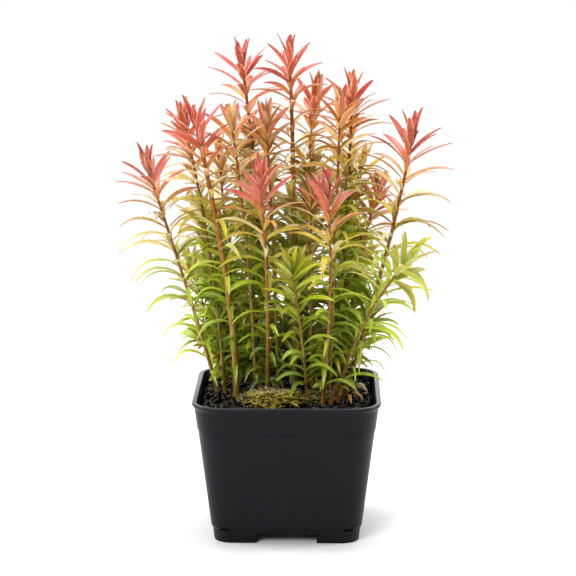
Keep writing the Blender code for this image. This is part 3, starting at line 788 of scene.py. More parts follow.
def make_pot(settings):
    """The pot: its section, with round edges, carried round a square with round corners. The
    section runs under the floor, round the feet, up the outside, over the lip and down
    inside."""
    foot = FOOT_WIDTH / 2
    lip_z = POT_HEIGHT - LIP_HEIGHT
    root_z = lip_z - LIP_ROOT
    step_z = FOOT_HEIGHT + FOOT_SPREAD
    rim = RIM_WIDTH / 2
    fillet = settings.fillet
    profile = (
        (foot - FOOT_WALL, FLOOR_UNDERSIDE, FOOT_WALL),
        (foot - FOOT_WALL, 0.0, FOOT_WALL),
        (foot, 0.0, 0.0),
        (foot + FOOT_SPREAD, FOOT_HEIGHT, 0.0),
        (wall_half(step_z), step_z, 0.0),
        (wall_half(BAND_Z), BAND_Z, 0.0),
        (wall_half(BAND_Z) + BAND_STEP, BAND_Z + BAND_STEP, 0.0),
        (wall_half(root_z) + BAND_STEP, root_z, 0.0),
        (rim, lip_z, 0.0),
        (rim, POT_HEIGHT, 0.0),
        (rim - LIP_WIDTH, POT_HEIGHT, LIP_WIDTH),
        (wall_half(FLOOR_TOP) - WALL, FLOOR_TOP, WALL),
    )
    radii = (0, fillet, fillet, fillet, fillet, 0, 0, 2 * fillet, fillet, fillet, fillet, 0)
    rows = round_off(profile, radii)
    spread = [rows[:1]]
    for low, high in zip(rows, rows[1:]):
        steps = max(1, round(np.linalg.norm((high - low)[:2]) / WALL_STEP))
        spread.append(low + (high - low) * np.linspace(0, 1, steps + 1)[1:, None])
    rows = np.concatenate(spread)
    points = rounded_square(rows[:, 0], corner_at(rows[:, 1]) - rows[:, 2], rows[:, 1])
    floors = [(0, 0, FLOOR_UNDERSIDE), (0, 0, FLOOR_TOP)]
    pile = Pile()
    pile.add(np.concatenate([points.reshape(-1, 3), floors]), tube_faces(*points.shape[:2]), (0, 0, 0))
    pot = pile.make("nursery_pot", [pot_finish(settings)])
    for along_x in (True, False):
        points, faces = notch_form(NOTCH_WIDTH, NOTCH_HEIGHT, NOTCH_CORNER, along_x)
        cut(pot, "notch", points, faces)
    box_faces = ((0, 2, 3, 1), (4, 5, 7, 6), (0, 1, 5, 4), (2, 6, 7, 3), (0, 4, 6, 2), (1, 3, 7, 5))
    for side in (-1, 1):
        for end in (-1, 1):
            ends = np.sort(np.array((SLIT_FROM, SLIT_TO)) * (side, end, 1), axis=0)
            points = [(ends[i, 0], ends[j, 1], ends[k, 2]) for k in (0, 1) for j in (0, 1) for i in (0, 1)]
            cut(pot, "slit", points, box_faces)
    pot.data.shade_smooth()
    pot.data.set_sharp_from_angle(angle=math.radians(POT_CREASE))
    place_piece(pot, ["pot"])


def pot_finish(settings):
    """Black moulded plastic: fine grain, soft flow marks, rubbed edges, scuffs and dust, and a painted
    highlight: a lighter line along the top of the rim, fainter at the front.
    """
    finish = Finish("moulded_plastic", Specular_IOR_Level=0.16)
    _, y, z = finish.parts(finish.place)
    cloud = finish.noise(38.0, 3.0)
    streaks = finish.noise(160.0, 3.0, (1.0, 1.0, 0.12))
    grain = finish.noise(2600.0, 2.0)
    scratch = finish.noise(420.0, 4.0, (0.25, 0.25, 2.4), 0.6)
    rubbed = scratch.between(0.66, 0.74) * cloud.between(0.42, 0.62)
    specks = finish.node(
        "ShaderNodeTexVoronoi", {"feature": "F1"}, {"Vector": finish.place, "Scale": 260.0})
    dust = (1.0 - specks.between(0.03, 0.09)) * finish.noise(55.0, 1.0).between(0.56, 0.66)
    lip = z.between(POT_HEIGHT - 0.0016, POT_HEIGHT - 0.0004)
    wear = rubbed * 0.30 + dust * 0.55 + lip * 0.25 * streaks
    colour = finish.mix(wear, settings.plastic, settings.scuff)
    # Painted highlight: a lighter line along the rim's top edge stands in for the top light's reflection,
    # weaker along the front.
    rim = z.between(POT_HEIGHT - 0.00045, POT_HEIGHT - 0.00010) * (0.55 + streaks * 0.5)
    rim = rim * (1.0 - y.between(-0.0435, -0.0400) * 0.55)
    roughness = settings.roughness + (cloud - 0.5) * 0.18 + (streaks - 0.5) * 0.10
    finish.feed(
        Base_Color=finish.mix(rim, colour, (0.046, 0.046, 0.052)),
        Roughness=roughness + rubbed * 0.12 - lip * 0.10)
    finish.bump(grain * 0.35 + streaks * 0.30 + cloud * 0.6, 0.00012, 0.55)
    return finish.material


# Bed of granules


def wall_distance(x, y, z):
    """How far inside the pot's wall a point lies: the distance to a square with round corners."""
    half = wall_half(z) - WALL
    corner = corner_at(z) - WALL
    past_x, past_y = np.abs(x) - (half - corner), np.abs(y) - (half - corner)
    outside = np.hypot(np.maximum(past_x, 0), np.maximum(past_y, 0))
    return corner - outside - np.minimum(np.maximum(past_x, past_y), 0)


def bed_height(x, y):
    """Height of the bed under its top granules: low waves, heaped at the front left."""
    waves = 0.00045 * np.sin(210 * x + 0.8) * np.cos(180 * y + 0.3) + 0.0003 * np.sin(430 * x - 330 * y)
    heap = 0.0012 * np.exp(-((x + 0.029) / 0.011) ** 2 - ((y + 0.027) / 0.013) ** 2)
    hollow = 0.0009 * np.exp(-((x - 0.036) / 0.009) ** 2 - ((y - 0.020) / 0.016) ** 2)
    return SOIL_Z - BED_SINK + waves + heap - hollow


def random_turns(chances, count):
    """Random rotations, from unit quaternions."""
    w, x, y, z = unit(chances.normal(size=(count, 4))).T
    return np.stack([
        1 - 2 * (y * y + z * z), 2 * (x * y - z * w), 2 * (x * z + y * w),
        2 * (x * y + z * w), 1 - 2 * (x * x + z * z), 2 * (y * z - x * w),
        2 * (x * z - y * w), 2 * (y * z + x * w), 1 - 2 * (x * x + y * y)], axis=-1).reshape(count, 3, 3)


def pebbles(chances, centres, sizes):
    """Lumpy pebbles: balls of latitude and longitude whose radius rises and falls with three
    waves across each, pressed flat a little on random sides, stretched and turned."""
    count = len(centres)
    rows, columns = PEBBLE_GRID
    rise = np.linspace(-math.pi / 2, math.pi / 2, rows + 2)[1:-1, None]
    turn = np.arange(columns) * 2 * math.pi / columns
    ball = np.stack(np.broadcast_arrays(
        np.cos(rise) * np.cos(turn), np.cos(rise) * np.sin(turn), np.sin(rise)), axis=-1)
    ball = np.concatenate([ball.reshape(-1, 3), [(0, 0, -1), (0, 0, 1)]])
    radius = np.ones((count, len(ball)))
    for frequency, amount in PEBBLE_WAVES:
        toward = unit(chances.normal(size=(count, 3)))
        phase = chances.uniform(0, 2 * math.pi, (count, 1))
        radius += amount * np.sin(frequency * (toward @ ball.T) + phase)
    for _ in range(3):
        toward = unit(chances.normal(size=(count, 3)))
        facing = np.maximum(toward @ ball.T, 1e-3)
        radius = np.minimum(radius, PEBBLE_FLAT / facing + 0.04)
    stretch = chances.uniform(0.78, 1.18, (count, 1, 3))
    points = ball[None] * radius[:, :, None] * stretch * sizes[:, None, None]
    points = np.einsum("nij,nkj->nki", random_turns(chances, count), points) + centres[:, None]
    quads, *ends = tube_faces(rows, columns)
    faces = [repeat_faces(some, count, len(ball)) for some in (quads, np.concatenate(ends))]
    tone = np.repeat(chances.uniform(0, 1, (count, 3)), len(ball), axis=0)
    return points, faces, tone


def make_bed(settings):
    """The bed: a closed body under the granules, and granules heaped over it in two layers,
    each in its own cell of a staggered grid, with larger ones at the front left."""
    chances = np.random.default_rng(BED_SEED)
    pile = Pile()
    low_z = FLOOR_TOP + GAP
    low, edge = (
        rounded_square(wall_half(z) - WALL - GAP, corner_at(z) - WALL - GAP, z)[0]
        for z in (low_z, SOIL_Z - EDGE_SINK))
    x, y = edge[:, 0] * BODY_RINGS, edge[:, 1] * BODY_RINGS
    rings = np.stack([x, y, bed_height(x, y) - BODY_SINK], axis=-1)
    rows = np.concatenate([low[None], rings])
    ends = [(0, 0, low_z), (0, 0, bed_height(0, 0) - BODY_SINK)]
    pile.add(np.concatenate([rows.reshape(-1, 3), ends]), tube_faces(*rows.shape[:2]), BODY_TONE)

    spacing = settings.granule * BED_SPACING
    for layer in range(2):
        steps = int(2 * BED_REACH / spacing)
        column, row = np.meshgrid(np.arange(steps), np.arange(int(steps * 1.15)))
        x = (column + 0.5 * (row % 2) + 0.25 * layer) * spacing - BED_REACH
        y = (row + 0.4 * layer) * spacing * ROW_PITCH - BED_REACH
        x, y = (
            values.ravel() + chances.uniform(-GRANULE_STRAY, GRANULE_STRAY, values.size) * spacing
            for values in (x, y))
        heap = np.exp(-((x + 0.030) / 0.013) ** 2 - ((y + 0.028) / 0.014) ** 2)
        size = settings.granule / 2 * chances.uniform(*GRANULE_SIZES, x.size) * (1 + 0.20 * heap)
        z = bed_height(x, y) + size * (0.15 + 0.42 * layer) + chances.uniform(-0.3, 0.35, x.size) * size
        inside = wall_distance(x, y, z) > size * 0.92
        if layer:
            inside &= chances.uniform(0, 1, x.size) < UPPER_SHARES[0] + UPPER_SHARES[1] * heap
        centres = np.column_stack([x, y, z])[inside]
        points, faces, tone = pebbles(chances, centres, size[inside])
        pile.add(points, faces, tone)
    bed = pile.make("granule_bed", [clay_finish(settings)])
    place_piece(bed, ["substrate"])


def clay_finish(settings):
    """Moist baked clay: near black, with paler dry faces, pores and a wet gleam."""
    finish = Finish("moist_baked_clay", Specular_IOR_Level=0.06, Coat_Roughness=0.08)
    paleness, warmth, wetness = finish.attribute("tone")
    cloud = finish.noise(520.0, 3.0)
    pores = finish.noise(1700.0, 3.0, roughness=0.60)
    dry = paleness.between(0.60, 1.05) * cloud.between(0.46, 0.66)
    worn = dry * 0.72 + pores.between(0.60, 0.75) * 0.06
    colour = finish.mix(worn, settings.clay_dark, settings.clay_pale)
    finish.feed(
        Base_Color=finish.mix(warmth.between(0.70, 1.0) * 0.30, colour, (0.060, 0.026, 0.020)),
        Roughness=0.34 + dry * 0.36 + (pores - 0.5) * 0.20,
        Coat_Weight=wetness.between(0.40, 0.85) * (1.0 - dry) * 0.65)
    finish.bump(cloud * 0.75 + pores * 0.25, 0.00016, 0.6)
    return finish.material


# Moss


def moss_height(patch, x, y):
    """Height of a moss cushion above its foot: a low dome with soft lumps."""
    (middle_x, middle_y), (radius_x, radius_y) = patch["middle"], patch["radii"]
    out = np.hypot((x - middle_x) / radius_x, (y - middle_y) / radius_y)
    dome = np.sqrt(np.clip(1 - out**2, 0, 1))
    lumps = 1 + MOSS_LUMP * np.sin(MOSS_WAVES[0] * x + 0.5) * np.cos(MOSS_WAVES[1] * y)
    return patch["height"] * dome * lumps


def strands(chances, bases, toward, lengths, widths):
    """Tapering curled strands: a three-sided section carried along a cubic curve that sets
    out one way, bends to a second and ends towards a third, turned with the curve at each
    station and closed by a point."""
    count = len(bases)
    share = STRAND_STATIONS
    bend, curl = (unit(chances.normal(size=toward.shape))[:, None] for _ in range(2))
    path = toward[:, None] * share + bend * share**2 * STRAND_BENDS[0] + curl * share**3 * STRAND_BENDS[1]
    path = path * lengths[:, None, None]
    path[..., 2] *= FELTED
    path = path + bases[:, None]
    along = unit(np.gradient(path, axis=1))
    side = np.cross(toward, unit(chances.normal(size=toward.shape)))
    angle = (np.arange(3) * 2 * math.pi / 3)[:, None]
    rings = []
    for station in range(4):
        here = along[:, station]
        side = unit(side - here * (side * here).sum(axis=1, keepdims=True))
        other = np.cross(here, side)
        rings.append(side[:, None] * np.cos(angle) + other[:, None] * np.sin(angle))
    ring = np.stack(rings, axis=1)
    half = widths[:, None, None, None] / 2 * STRAND_SIZES
    points = path[:, :-1, None] + ring * half
    points = np.concatenate([points.reshape(count, STRAND_POINTS - 1, 3), path[:, -1:]], axis=1)
    faces = (grid_quads(4, 3), fan((9, 10, 11), STRAND_POINTS - 1), [(2, 1, 0)])
    return points, [repeat_faces(some, count, STRAND_POINTS) for some in faces]


def ragged_edge(angle):
    """How far a moss cushion reaches at an angle, against its radius: three wide lobes and
    seven narrow ones."""
    return 1 + 0.07 * np.sin(3 * angle + 1.0) + 0.05 * np.sin(7 * angle)


def make_moss(name, settings):
    """A moss cushion: a closed lumpy dome, covered in fine strands that stand off it."""
    patch = MOSS[name]
    piece_name, count = MOSS_PIECES[name]
    chances = np.random.default_rng(len(name) * 7)
    (middle_x, middle_y), (radius_x, radius_y) = patch["middle"], patch["radii"]
    foot_z = SOIL_Z - MOSS_SINK
    angle = np.linspace(0, 2 * math.pi, MOSS_STEPS, endpoint=False)
    ragged = ragged_edge(angle)
    x = middle_x + radius_x * MOSS_BASE * MOSS_RINGS * ragged * np.cos(angle)
    y = middle_y + radius_y * MOSS_BASE * MOSS_RINGS * ragged * np.sin(angle)
    z = foot_z + MOSS_LIFT + MOSS_BODY * moss_height(patch, x, y)
    z[0] = foot_z
    top = foot_z + MOSS_LIFT + MOSS_BODY * moss_height(patch, middle_x, middle_y)
    ends = [(middle_x, middle_y, foot_z), (middle_x, middle_y, top)]
    body = np.concatenate([np.stack([x, y, z], axis=-1).reshape(-1, 3), ends])
    pile = Pile()
    # The body under the strands gets 0.02, which paints it near black as shade.
    pile.add(body, tube_faces(*x.shape), moss_tone(body, patch, 0.02))

    reach = np.sqrt(chances.uniform(0, 1, count)) * 1.02
    turn = chances.uniform(0, 2 * math.pi, count)
    reach *= ragged_edge(turn)
    x, y = middle_x + radius_x * reach * np.cos(turn), middle_y + radius_y * reach * np.sin(turn)
    depth = chances.uniform(0, 1, count)
    z = foot_z + 0.0006 + (MOSS_BODY + 0.10 * depth) * moss_height(patch, x, y)
    outward = [(x - middle_x) / radius_x**2, (y - middle_y) / radius_y**2, np.full(count, 1.0)]
    outward = np.column_stack(outward)
    outward[:, :2] *= patch["height"] * 1.2
    toward = unit(unit(outward) * 0.30 + chances.normal(size=(count, 3)) * 0.70)
    toward[:, 2] = np.abs(toward[:, 2]) * 0.36 + 0.03
    lengths = settings.strand * chances.uniform(*STRAND_LENGTHS, count)
    widths = chances.uniform(*STRAND_WIDTHS, count)
    points, faces = strands(chances, np.column_stack([x, y, z]), unit(toward), lengths, widths)
    ceiling = foot_z + 0.0014 + GAP + patch["height"] * (1 + MOSS_LUMP)
    points[..., 2] = np.minimum(points[..., 2], ceiling)
    clump = np.sin(1150 * x + 2.0 * np.sin(700 * y)) * np.sin(1300 * y + 1.0)
    # Painted light on each strand, with a random share: low strands get painted shade, high ones and those
    # on the lumps painted highlight.
    painted_light_and_tone = 0.32 * depth + 0.36 * chances.uniform(0, 1, count) + 0.23 + 0.32 * clump
    tone = moss_tone(points.reshape(-1, 3), patch, np.repeat(painted_light_and_tone, STRAND_POINTS))
    pile.add(points, faces, tone)
    moss = pile.make(piece_name, [moss_finish(piece_name, settings)])
    place_piece(moss, [name])


def moss_tone(points, patch, chance):
    """How tan and how grey moss is at points, and how much light and shade is painted on it:
    tan on the crest behind, grey at the left end; the third number, given by the caller,
    paints low strands dark as shade and high ones pale as highlight."""
    x = (points[:, 0] - patch["middle"][0]) / patch["radii"][0]
    y = (points[:, 1] - patch["middle"][1]) / patch["radii"][1]
    rise = (points[:, 2] - SOIL_Z) / patch["height"]
    tan = np.clip(2.4 * (rise - 0.62) + 0.5 * y + 0.20 - 0.40 * np.abs(x + 0.25), 0, 1)
    grey = np.clip(-1.6 * (x + 0.45), 0, 1)
    if patch["height"] > patch["radii"][1]:
        tan, grey = tan * 0.2, 0.75 + 0 * grey
    return np.column_stack([tan, grey, np.broadcast_to(chance, tan.shape)])


def moss_finish(name, settings):
    """Fine dry moss: olive, tan and grey-green strands, matt. A third number, partly random,
    paints light and shade: low strands and the body under them near black as painted shade,
    strands high up and on the lumps pale as painted highlight.
    """
    finish = Finish(name + "_finish", Specular_IOR_Level=0.25)
    tan, grey, chance = finish.attribute("tone")
    patchy = finish.noise(330.0, 3.0)
    strand = finish.layers(
        settings.moss_olive,
        ((tan + (patchy - 0.5) * 0.8).between(0.15, 0.85), settings.moss_tan),
        (grey * 0.85, settings.moss_grey))
    # Painted shade: strands with a low third number turn near black.
    strand_with_painted_shade = finish.mix(chance.between(0.42, 0.80), (0.006, 0.005, 0.002), strand)
    # Painted highlight: strands with the highest third number turn pale.
    finish.feed(
        Base_Color=finish.mix(chance.between(0.80, 1.0) * 0.60, strand_with_painted_shade, (0.860, 0.740, 0.330)),
        Roughness=0.75 + (patchy - 0.5) * 0.2)
    return finish.material


# Leaves


def unit(vectors):
    """The vectors at length 1."""
    return vectors / np.linalg.norm(vectors, axis=-1, keepdims=True)


def heading(first, second, angle):
    """The direction at an angle from a first direction towards a second."""
    return first * math.cos(angle) + second * math.sin(angle)


class Shoot:
    """One shoot: its stem as a parabola through foot, middle and end, and its leaves."""

    def __init__(self, owner, name):
        *places, turn, self.scale, self.crown, self.colour = SHOOTS[name]
        x, y, *rest, self.width = np.round(np.array(places) / 1000, 7)
        self.owner, self.name, self.turn = owner, name, math.radians(turn)
        share = np.linspace(1, 0, STEM_SAMPLES)[:, None]
        line = np.array((x, y, SOIL_Z)) * (1 - share) * (1 - 2 * share)
        line = line + np.array(rest[:3]) * 4 * share * (1 - share)
        self.line = line + np.array(rest[3:]) * share * (2 * share - 1)
        steps = np.linalg.norm(np.diff(self.line, axis=0), axis=1)
        self.below = np.concatenate([[0], np.cumsum(steps)])
        self.length = self.below[-1]
        self.first = np.array((math.cos(self.turn), math.sin(self.turn), 0))
        self.leaves = []

    def at(self, distance):
        """The points of the stem that lie so far below its end."""
        return np.array([np.interp(distance, self.below, self.line[:, axis]) for axis in range(3)])

    def frame(self, distance):
        """The stem's point at a distance below its end, its direction there, and the
        directions of its first and second faces."""
        up = unit(self.at(distance - STEM_STEP) - self.at(distance + STEM_STEP))
        first = unit(self.first - up * (self.first @ up))
        return self.at(distance), up, first, np.cross(up, first)

    def width_at(self, distance):
        """Width of the stem at a distance below its end."""
        return STEM_END_WIDTH + (self.width - STEM_END_WIDTH) * (distance / self.length) ** STEM_TAPER

    def nodes(self):
        """Distances of the leaf nodes below the end: close in the crown, wider below."""
        distances = []
        distance = FIRST_NODE
        while distance < self.length - BARE_FOOT:
            distances.append(distance)
            distance += STEM_SPACING - (STEM_SPACING - CROWN_SPACING) * math.exp(-distance / SPACING_REACH)
        return distances


def leaf_size(distance):
    """A leaf's usual length and width: small in the heart, long below it, shorter again
    near the foot."""
    young = YOUNG_SHARE * math.exp(-distance / YOUNG_REACH)
    old = OLD_SHARE * min(distance / OLD_REACH, 1) ** OLD_POWER
    return LEAF_LENGTH * (1 - young - old), LEAF_WIDTH * (1 - 0.5 * young - 0.6 * old)


def make_leaf(base, out, up, rise, length, bowed, roll, width, below):
    """A leaf from its base: its chord rises from out towards up, its bow stands off the chord
    by a share of its length, and its side vector is rolled round the chord."""
    chord = heading(out, up, rise)
    above = up * math.cos(rise) - out * math.sin(rise)
    side = heading(np.cross(above, chord), above, roll)
    return {
        "base": base, "chord": chord * length, "bow": above * length * bowed, "side": side,
        "width": width, "below": below}


def grow_leaf(frame, face, distance, radius, scale, chance, ease):
    """One way for a leaf to grow. At ease 0 it keeps near its usual direction, and up to
    ease 1 it turns, lifts and shrinks more."""
    here, up, first, second = frame
    out = heading(first, second, face * math.pi / 2)
    base = here + out * radius
    up = unit(up + (0, 0, 1))
    out = unit(out - up * (out @ up))
    out = heading(out, np.cross(up, out), math.radians(YAW + YAW_EASE * ease) * chance[0])
    rise = STEM_RISE + (CROWN_RISE - STEM_RISE) * math.exp(-distance / RISE_REACH)
    rise += (LIFT + LIFT_EASE * ease) * chance[1]
    droop = DROOP * (1 - math.exp(-distance / DROOP_REACH)) * (1 + DROOP_CHANCE * chance[2])
    length, width = leaf_size(distance)
    length *= scale * (1 + LENGTH_CHANCE * chance[3]) * (1 - LENGTH_EASE * ease)
    bowed = math.tan(math.radians(droop)) / 4
    roll = math.radians(ROLL) * chance[4]
    return make_leaf(base, out, up, math.radians(rise - droop), length, bowed, roll, width, distance)


def leaf_points(leaf):
    """Points over a leaf's middle and both edges, on its smooth bow and on its two chords."""
    share = LEAF_STATIONS
    fold = 1 - np.abs(2 * share - 1)
    smooth = leaf["base"] + leaf["chord"] * share + leaf["bow"] * 4 * share * (1 - share)
    chords = leaf["base"] + leaf["chord"] * share + leaf["bow"] * fold
    wide = leaf["side"] * leaf["width"] / 2 * np.sin(math.pi * share**LEAF_BELLY)
    tapered = leaf["side"] * leaf["width"] / 2 * fold
    rows = [smooth, smooth + wide, smooth - wide, chords, chords + tapered, chords - tapered]
    return np.stack(rows, axis=1)


def leaf_floor(x, y):
    """How low a leaf may hang: above the granules, and higher over the rim."""
    past_rim = np.maximum(np.abs(x), np.abs(y)) - RIM_WIDTH / 2
    on_rim = (past_rim > RIM_BAND[0]) & (past_rim < RIM_BAND[1])
    return np.where(on_rim, ABOVE_RIM, LOWEST_LEAF)


class Room:
    """A grid of small cells over the clump that notes which shoot has filled each of them."""

    def __init__(self):
        axes = [ROOM_LOW[i] + CELL * (np.arange(ROOM_CELLS[i]) + 0.5) for i in range(3)]
        x, y = np.meshgrid(axes[0], axes[1], indexing="ij")
        floor = leaf_floor(x, y)
        low, high = LITTER["low"], LITTER["high"]
        littered = (x > low[0]) & (x < high[0]) & (y > low[1]) & (y < high[1])
        floor = np.where(littered, LITTER["top"], floor)
        for patch in MOSS.values():
            floor = np.maximum(floor, SOIL_Z + moss_height(patch, x, y) * 1.1 + 2 * CELL)
        self.near = np.where(axes[2] < floor[:, :, None], -1, 0).astype(np.int8)
        self.exact = np.zeros(ROOM_CELLS, bool)

    def cells(self, points):
        """The cells that hold points, with points outside the grid put in its edge."""
        index = ((points.reshape(-1, 3) - ROOM_LOW) / CELL).astype(int)
        return np.clip(index, 2, np.array(ROOM_CELLS) - 3)

    def fill(self, points, owner, reach):
        """Marks the cells up to reach cells away from points as near this owner."""
        span = np.arange(-reach, reach + 1)
        offsets = np.stack(np.meshgrid(span, span, span), axis=-1).reshape(-1, 3)
        offsets = offsets[np.linalg.norm(offsets, axis=1) <= reach + 0.8]
        cells = (self.cells(points)[:, None] + offsets).reshape(-1, 3)
        cells = np.clip(cells, 0, np.array(ROOM_CELLS) - 1)
        spots = tuple(cells.T)
        before = self.near[spots]
        self.near[spots] = np.where((before == 0) | (before == owner), owner, -1)

    def add_leaf(self, points, owner):
        """Marks a leaf's cells, and those beside them as near its shoot."""
        self.fill(points, owner, 1)
        self.exact[tuple(self.cells(points[6:]).T)] = True

    def is_free(self, points, owner):
        """Whether a leaf meets no other shoot, and past its first part no leaf of its own."""
        near = self.near[tuple(self.cells(points[3:]).T)]
        others = (near != 0) & (near != owner)
        return not others.any() and not self.exact[tuple(self.cells(points[6:]).T)].any()


def clears_pot(leaf):
    """Whether all of a leaf keeps over the granules and the rim."""
    points = leaf_points(leaf)
    return bool((points[..., 2] > leaf_floor(points[..., 0], points[..., 1])).all())


def lay_out_leaves(shoots):
    """Every leaf of the clump, crowns first: each takes the first way to grow that is free.
    If none is, it grows short among the others if it clears the pot."""
    room = Room()
    places = []
    for shoot in shoots:
        room.fill(shoot.line, shoot.owner, round((shoot.width / 2 + CELL) / CELL))
        for node, distance in enumerate(shoot.nodes()):
            frame = shoot.frame(distance)
            for face in (node % 2, node % 2 + 2):
                places.append((distance, shoot.owner, node, face, frame, shoot))
    places.sort(key=lambda place: place[:4])
    chances = np.random.default_rng(SEED)
    for distance, owner, _, face, frame, shoot in places:
        radius = LEAF_SINK * shoot.width_at(distance)
        for attempt in range(TRIES):
            chance = chances.uniform(-1, 1, 5)
            leaf = grow_leaf(frame, face, distance, radius, shoot.scale, chance, attempt / TRIES)
            points = leaf_points(leaf)
            if room.is_free(points, owner):
                room.add_leaf(points, owner)
                shoot.leaves.append(leaf)
                break
        else:
            leaf = grow_leaf(frame, face, distance, radius, shoot.scale, chance, CROWDED)
            if clears_pot(leaf):
                shoot.leaves.append(leaf)


def fill_in_leaves(shoot, chances):
    """The leaves of a shoot that its solid leaves out: a pair between each two pairs, turned
    half way between them, tufts of small young leaves in the axils below the crown, and
    sprigs low on the stems behind."""
    nodes = shoot.nodes()
    leaves = []
    for node, (distance, following) in enumerate(zip(nodes, nodes[1:])):
        middle = (distance + following) / 2
        frame = shoot.frame(middle)
        radius = LEAF_SINK * shoot.width_at(middle)
        x, y, _ = frame[0]
        share = OUTSIDE_SHARES[int(x > 0)] if abs(x) > OUTSIDE else PAIR_SHARE
        for face in (node % 2 + 0.5, node % 2 + 2.5):
            chance = chances.uniform(-1, 1, 6)
            scale = shoot.scale * (BETWEEN_SCALES[0] + BETWEEN_SCALES[1] * chance[5])
            leaf = grow_leaf(frame, face, middle, radius, scale, chance, BETWEEN_EASE)
            if middle > PAIRS_FROM and chances.uniform(0, 1) < share:
                leaves.append(leaf)
        frame = shoot.frame(distance - AXIL_RISE)
        x, y, _ = frame[0]
        behind = y > BEHIND[1] and abs(x) < BEHIND[0]
        for face in (node % 2, node % 2 + 2):
            tuft = chances.uniform(0, 1)
            for rank in range(AXIL_RANKS):
                chance = chances.uniform(-1, 1, 5)
                grows = behind or (rank < 1 and tuft < FRONT_TUFTS)
                if distance > TUFTS_FROM and tuft < TUFT_SHARE and grows:
                    leaves.append(small_leaf(frame, face, radius, rank, distance, chance, behind))
    x, y, _ = shoot.line[-1]
    for rise in LOW_SPRIGS if y > LOW_FROM and abs(x) < LOW_SIDE else ():
        frame = shoot.frame(shoot.length - rise)
        for face in range(4):
            chance = chances.uniform(-1, 1, 5)
            sprig = small_leaf(frame, face + 0.5, LEAF_SINK * shoot.width, 3, shoot.length, chance, True)
            leaves.append(sprig | {"width": sprig["width"] * SPRIG_WIDE})
    return [leaf for leaf in leaves if clears_pot(leaf) and not faces_front(leaf)]


def faces_front(leaf):
    """Whether a leaf of the clump's front half points out to the front, where stems are bare."""
    toward = unit(leaf["chord"][:2])
    return bool(leaf["base"][1] < CLUMP_MIDDLE[1] and toward[1] < FRONT_LIMIT)


def small_leaf(frame, face, radius, rank, distance, chance, behind):
    """A young leaf in an axil: short, narrow, rising steeply and turned to one side."""
    here, up, first, second = frame
    apart, stray, shift = SMALL_TURNS
    turn = face * math.pi / 2 + (rank % 3 - 1) * apart + stray * chance[0] + rank // 3 * shift
    out = heading(first, second, turn)
    usual, spread, upright, lower = SMALL_RISES
    rise = math.radians(usual + spread * chance[1] + (upright if rank == 1 else 0) - lower * (rank // 3))
    length = SMALL_LENGTHS[0] + SMALL_LENGTHS[1] * min(distance / OLD_REACH, 1)
    length *= 1 + 0.30 * chance[2]
    longer, most_roll, wide = SMALL_BEHIND if behind else SMALL_BEFORE
    return make_leaf(
        here + out * radius, out, up, rise, length * longer, SMALL_BOW, most_roll * chance[4],
        wide * (1 + 0.2 * chance[3]), distance)


def open_out(base, chord, bow, side, below, opening):
    """Chords and bows as they are seen: crown leaves turned away from their stem about their
    side vector, and leaves on the outside of the clump longer."""
    opening = OPENING * (1 - np.exp(-np.maximum(below, 0) / OPENING_REACHES[0])) * np.exp(
        -((below / OPENING_REACHES[1]) ** 2)) * opening
    angle = np.radians(opening)[:, None]
    reach = np.linalg.norm(chord, axis=1, keepdims=True)
    raised = np.cross(chord, side) / reach
    lift = np.sign((bow * raised).sum(axis=1, keepdims=True)) * np.linalg.norm(bow, axis=1, keepdims=True)
    turned = chord * np.cos(angle) - raised * reach * np.sin(angle)
    bowed = (raised * np.cos(angle) + chord / reach * np.sin(angle)) * lift
    away = np.linalg.norm(base[:, :2] - CLUMP_MIDDLE, axis=1)
    outside = np.clip((away - OUTER_FROM) / OUTER_REACH, 0, 1)
    gain = 1 + OUTER_GAIN * outside * np.clip((below - OUTER_BELOW[0]) / OUTER_BELOW[1], 0, 1)
    gain -= LOW_LOSS * (1 - outside) * np.clip((LOW_TOP - base[:, 2]) / LOW_REACH, 0, 1)
    return turned * gain[:, None], np.where(opening[:, None] > 0.5, bowed, bow) * gain[:, None]


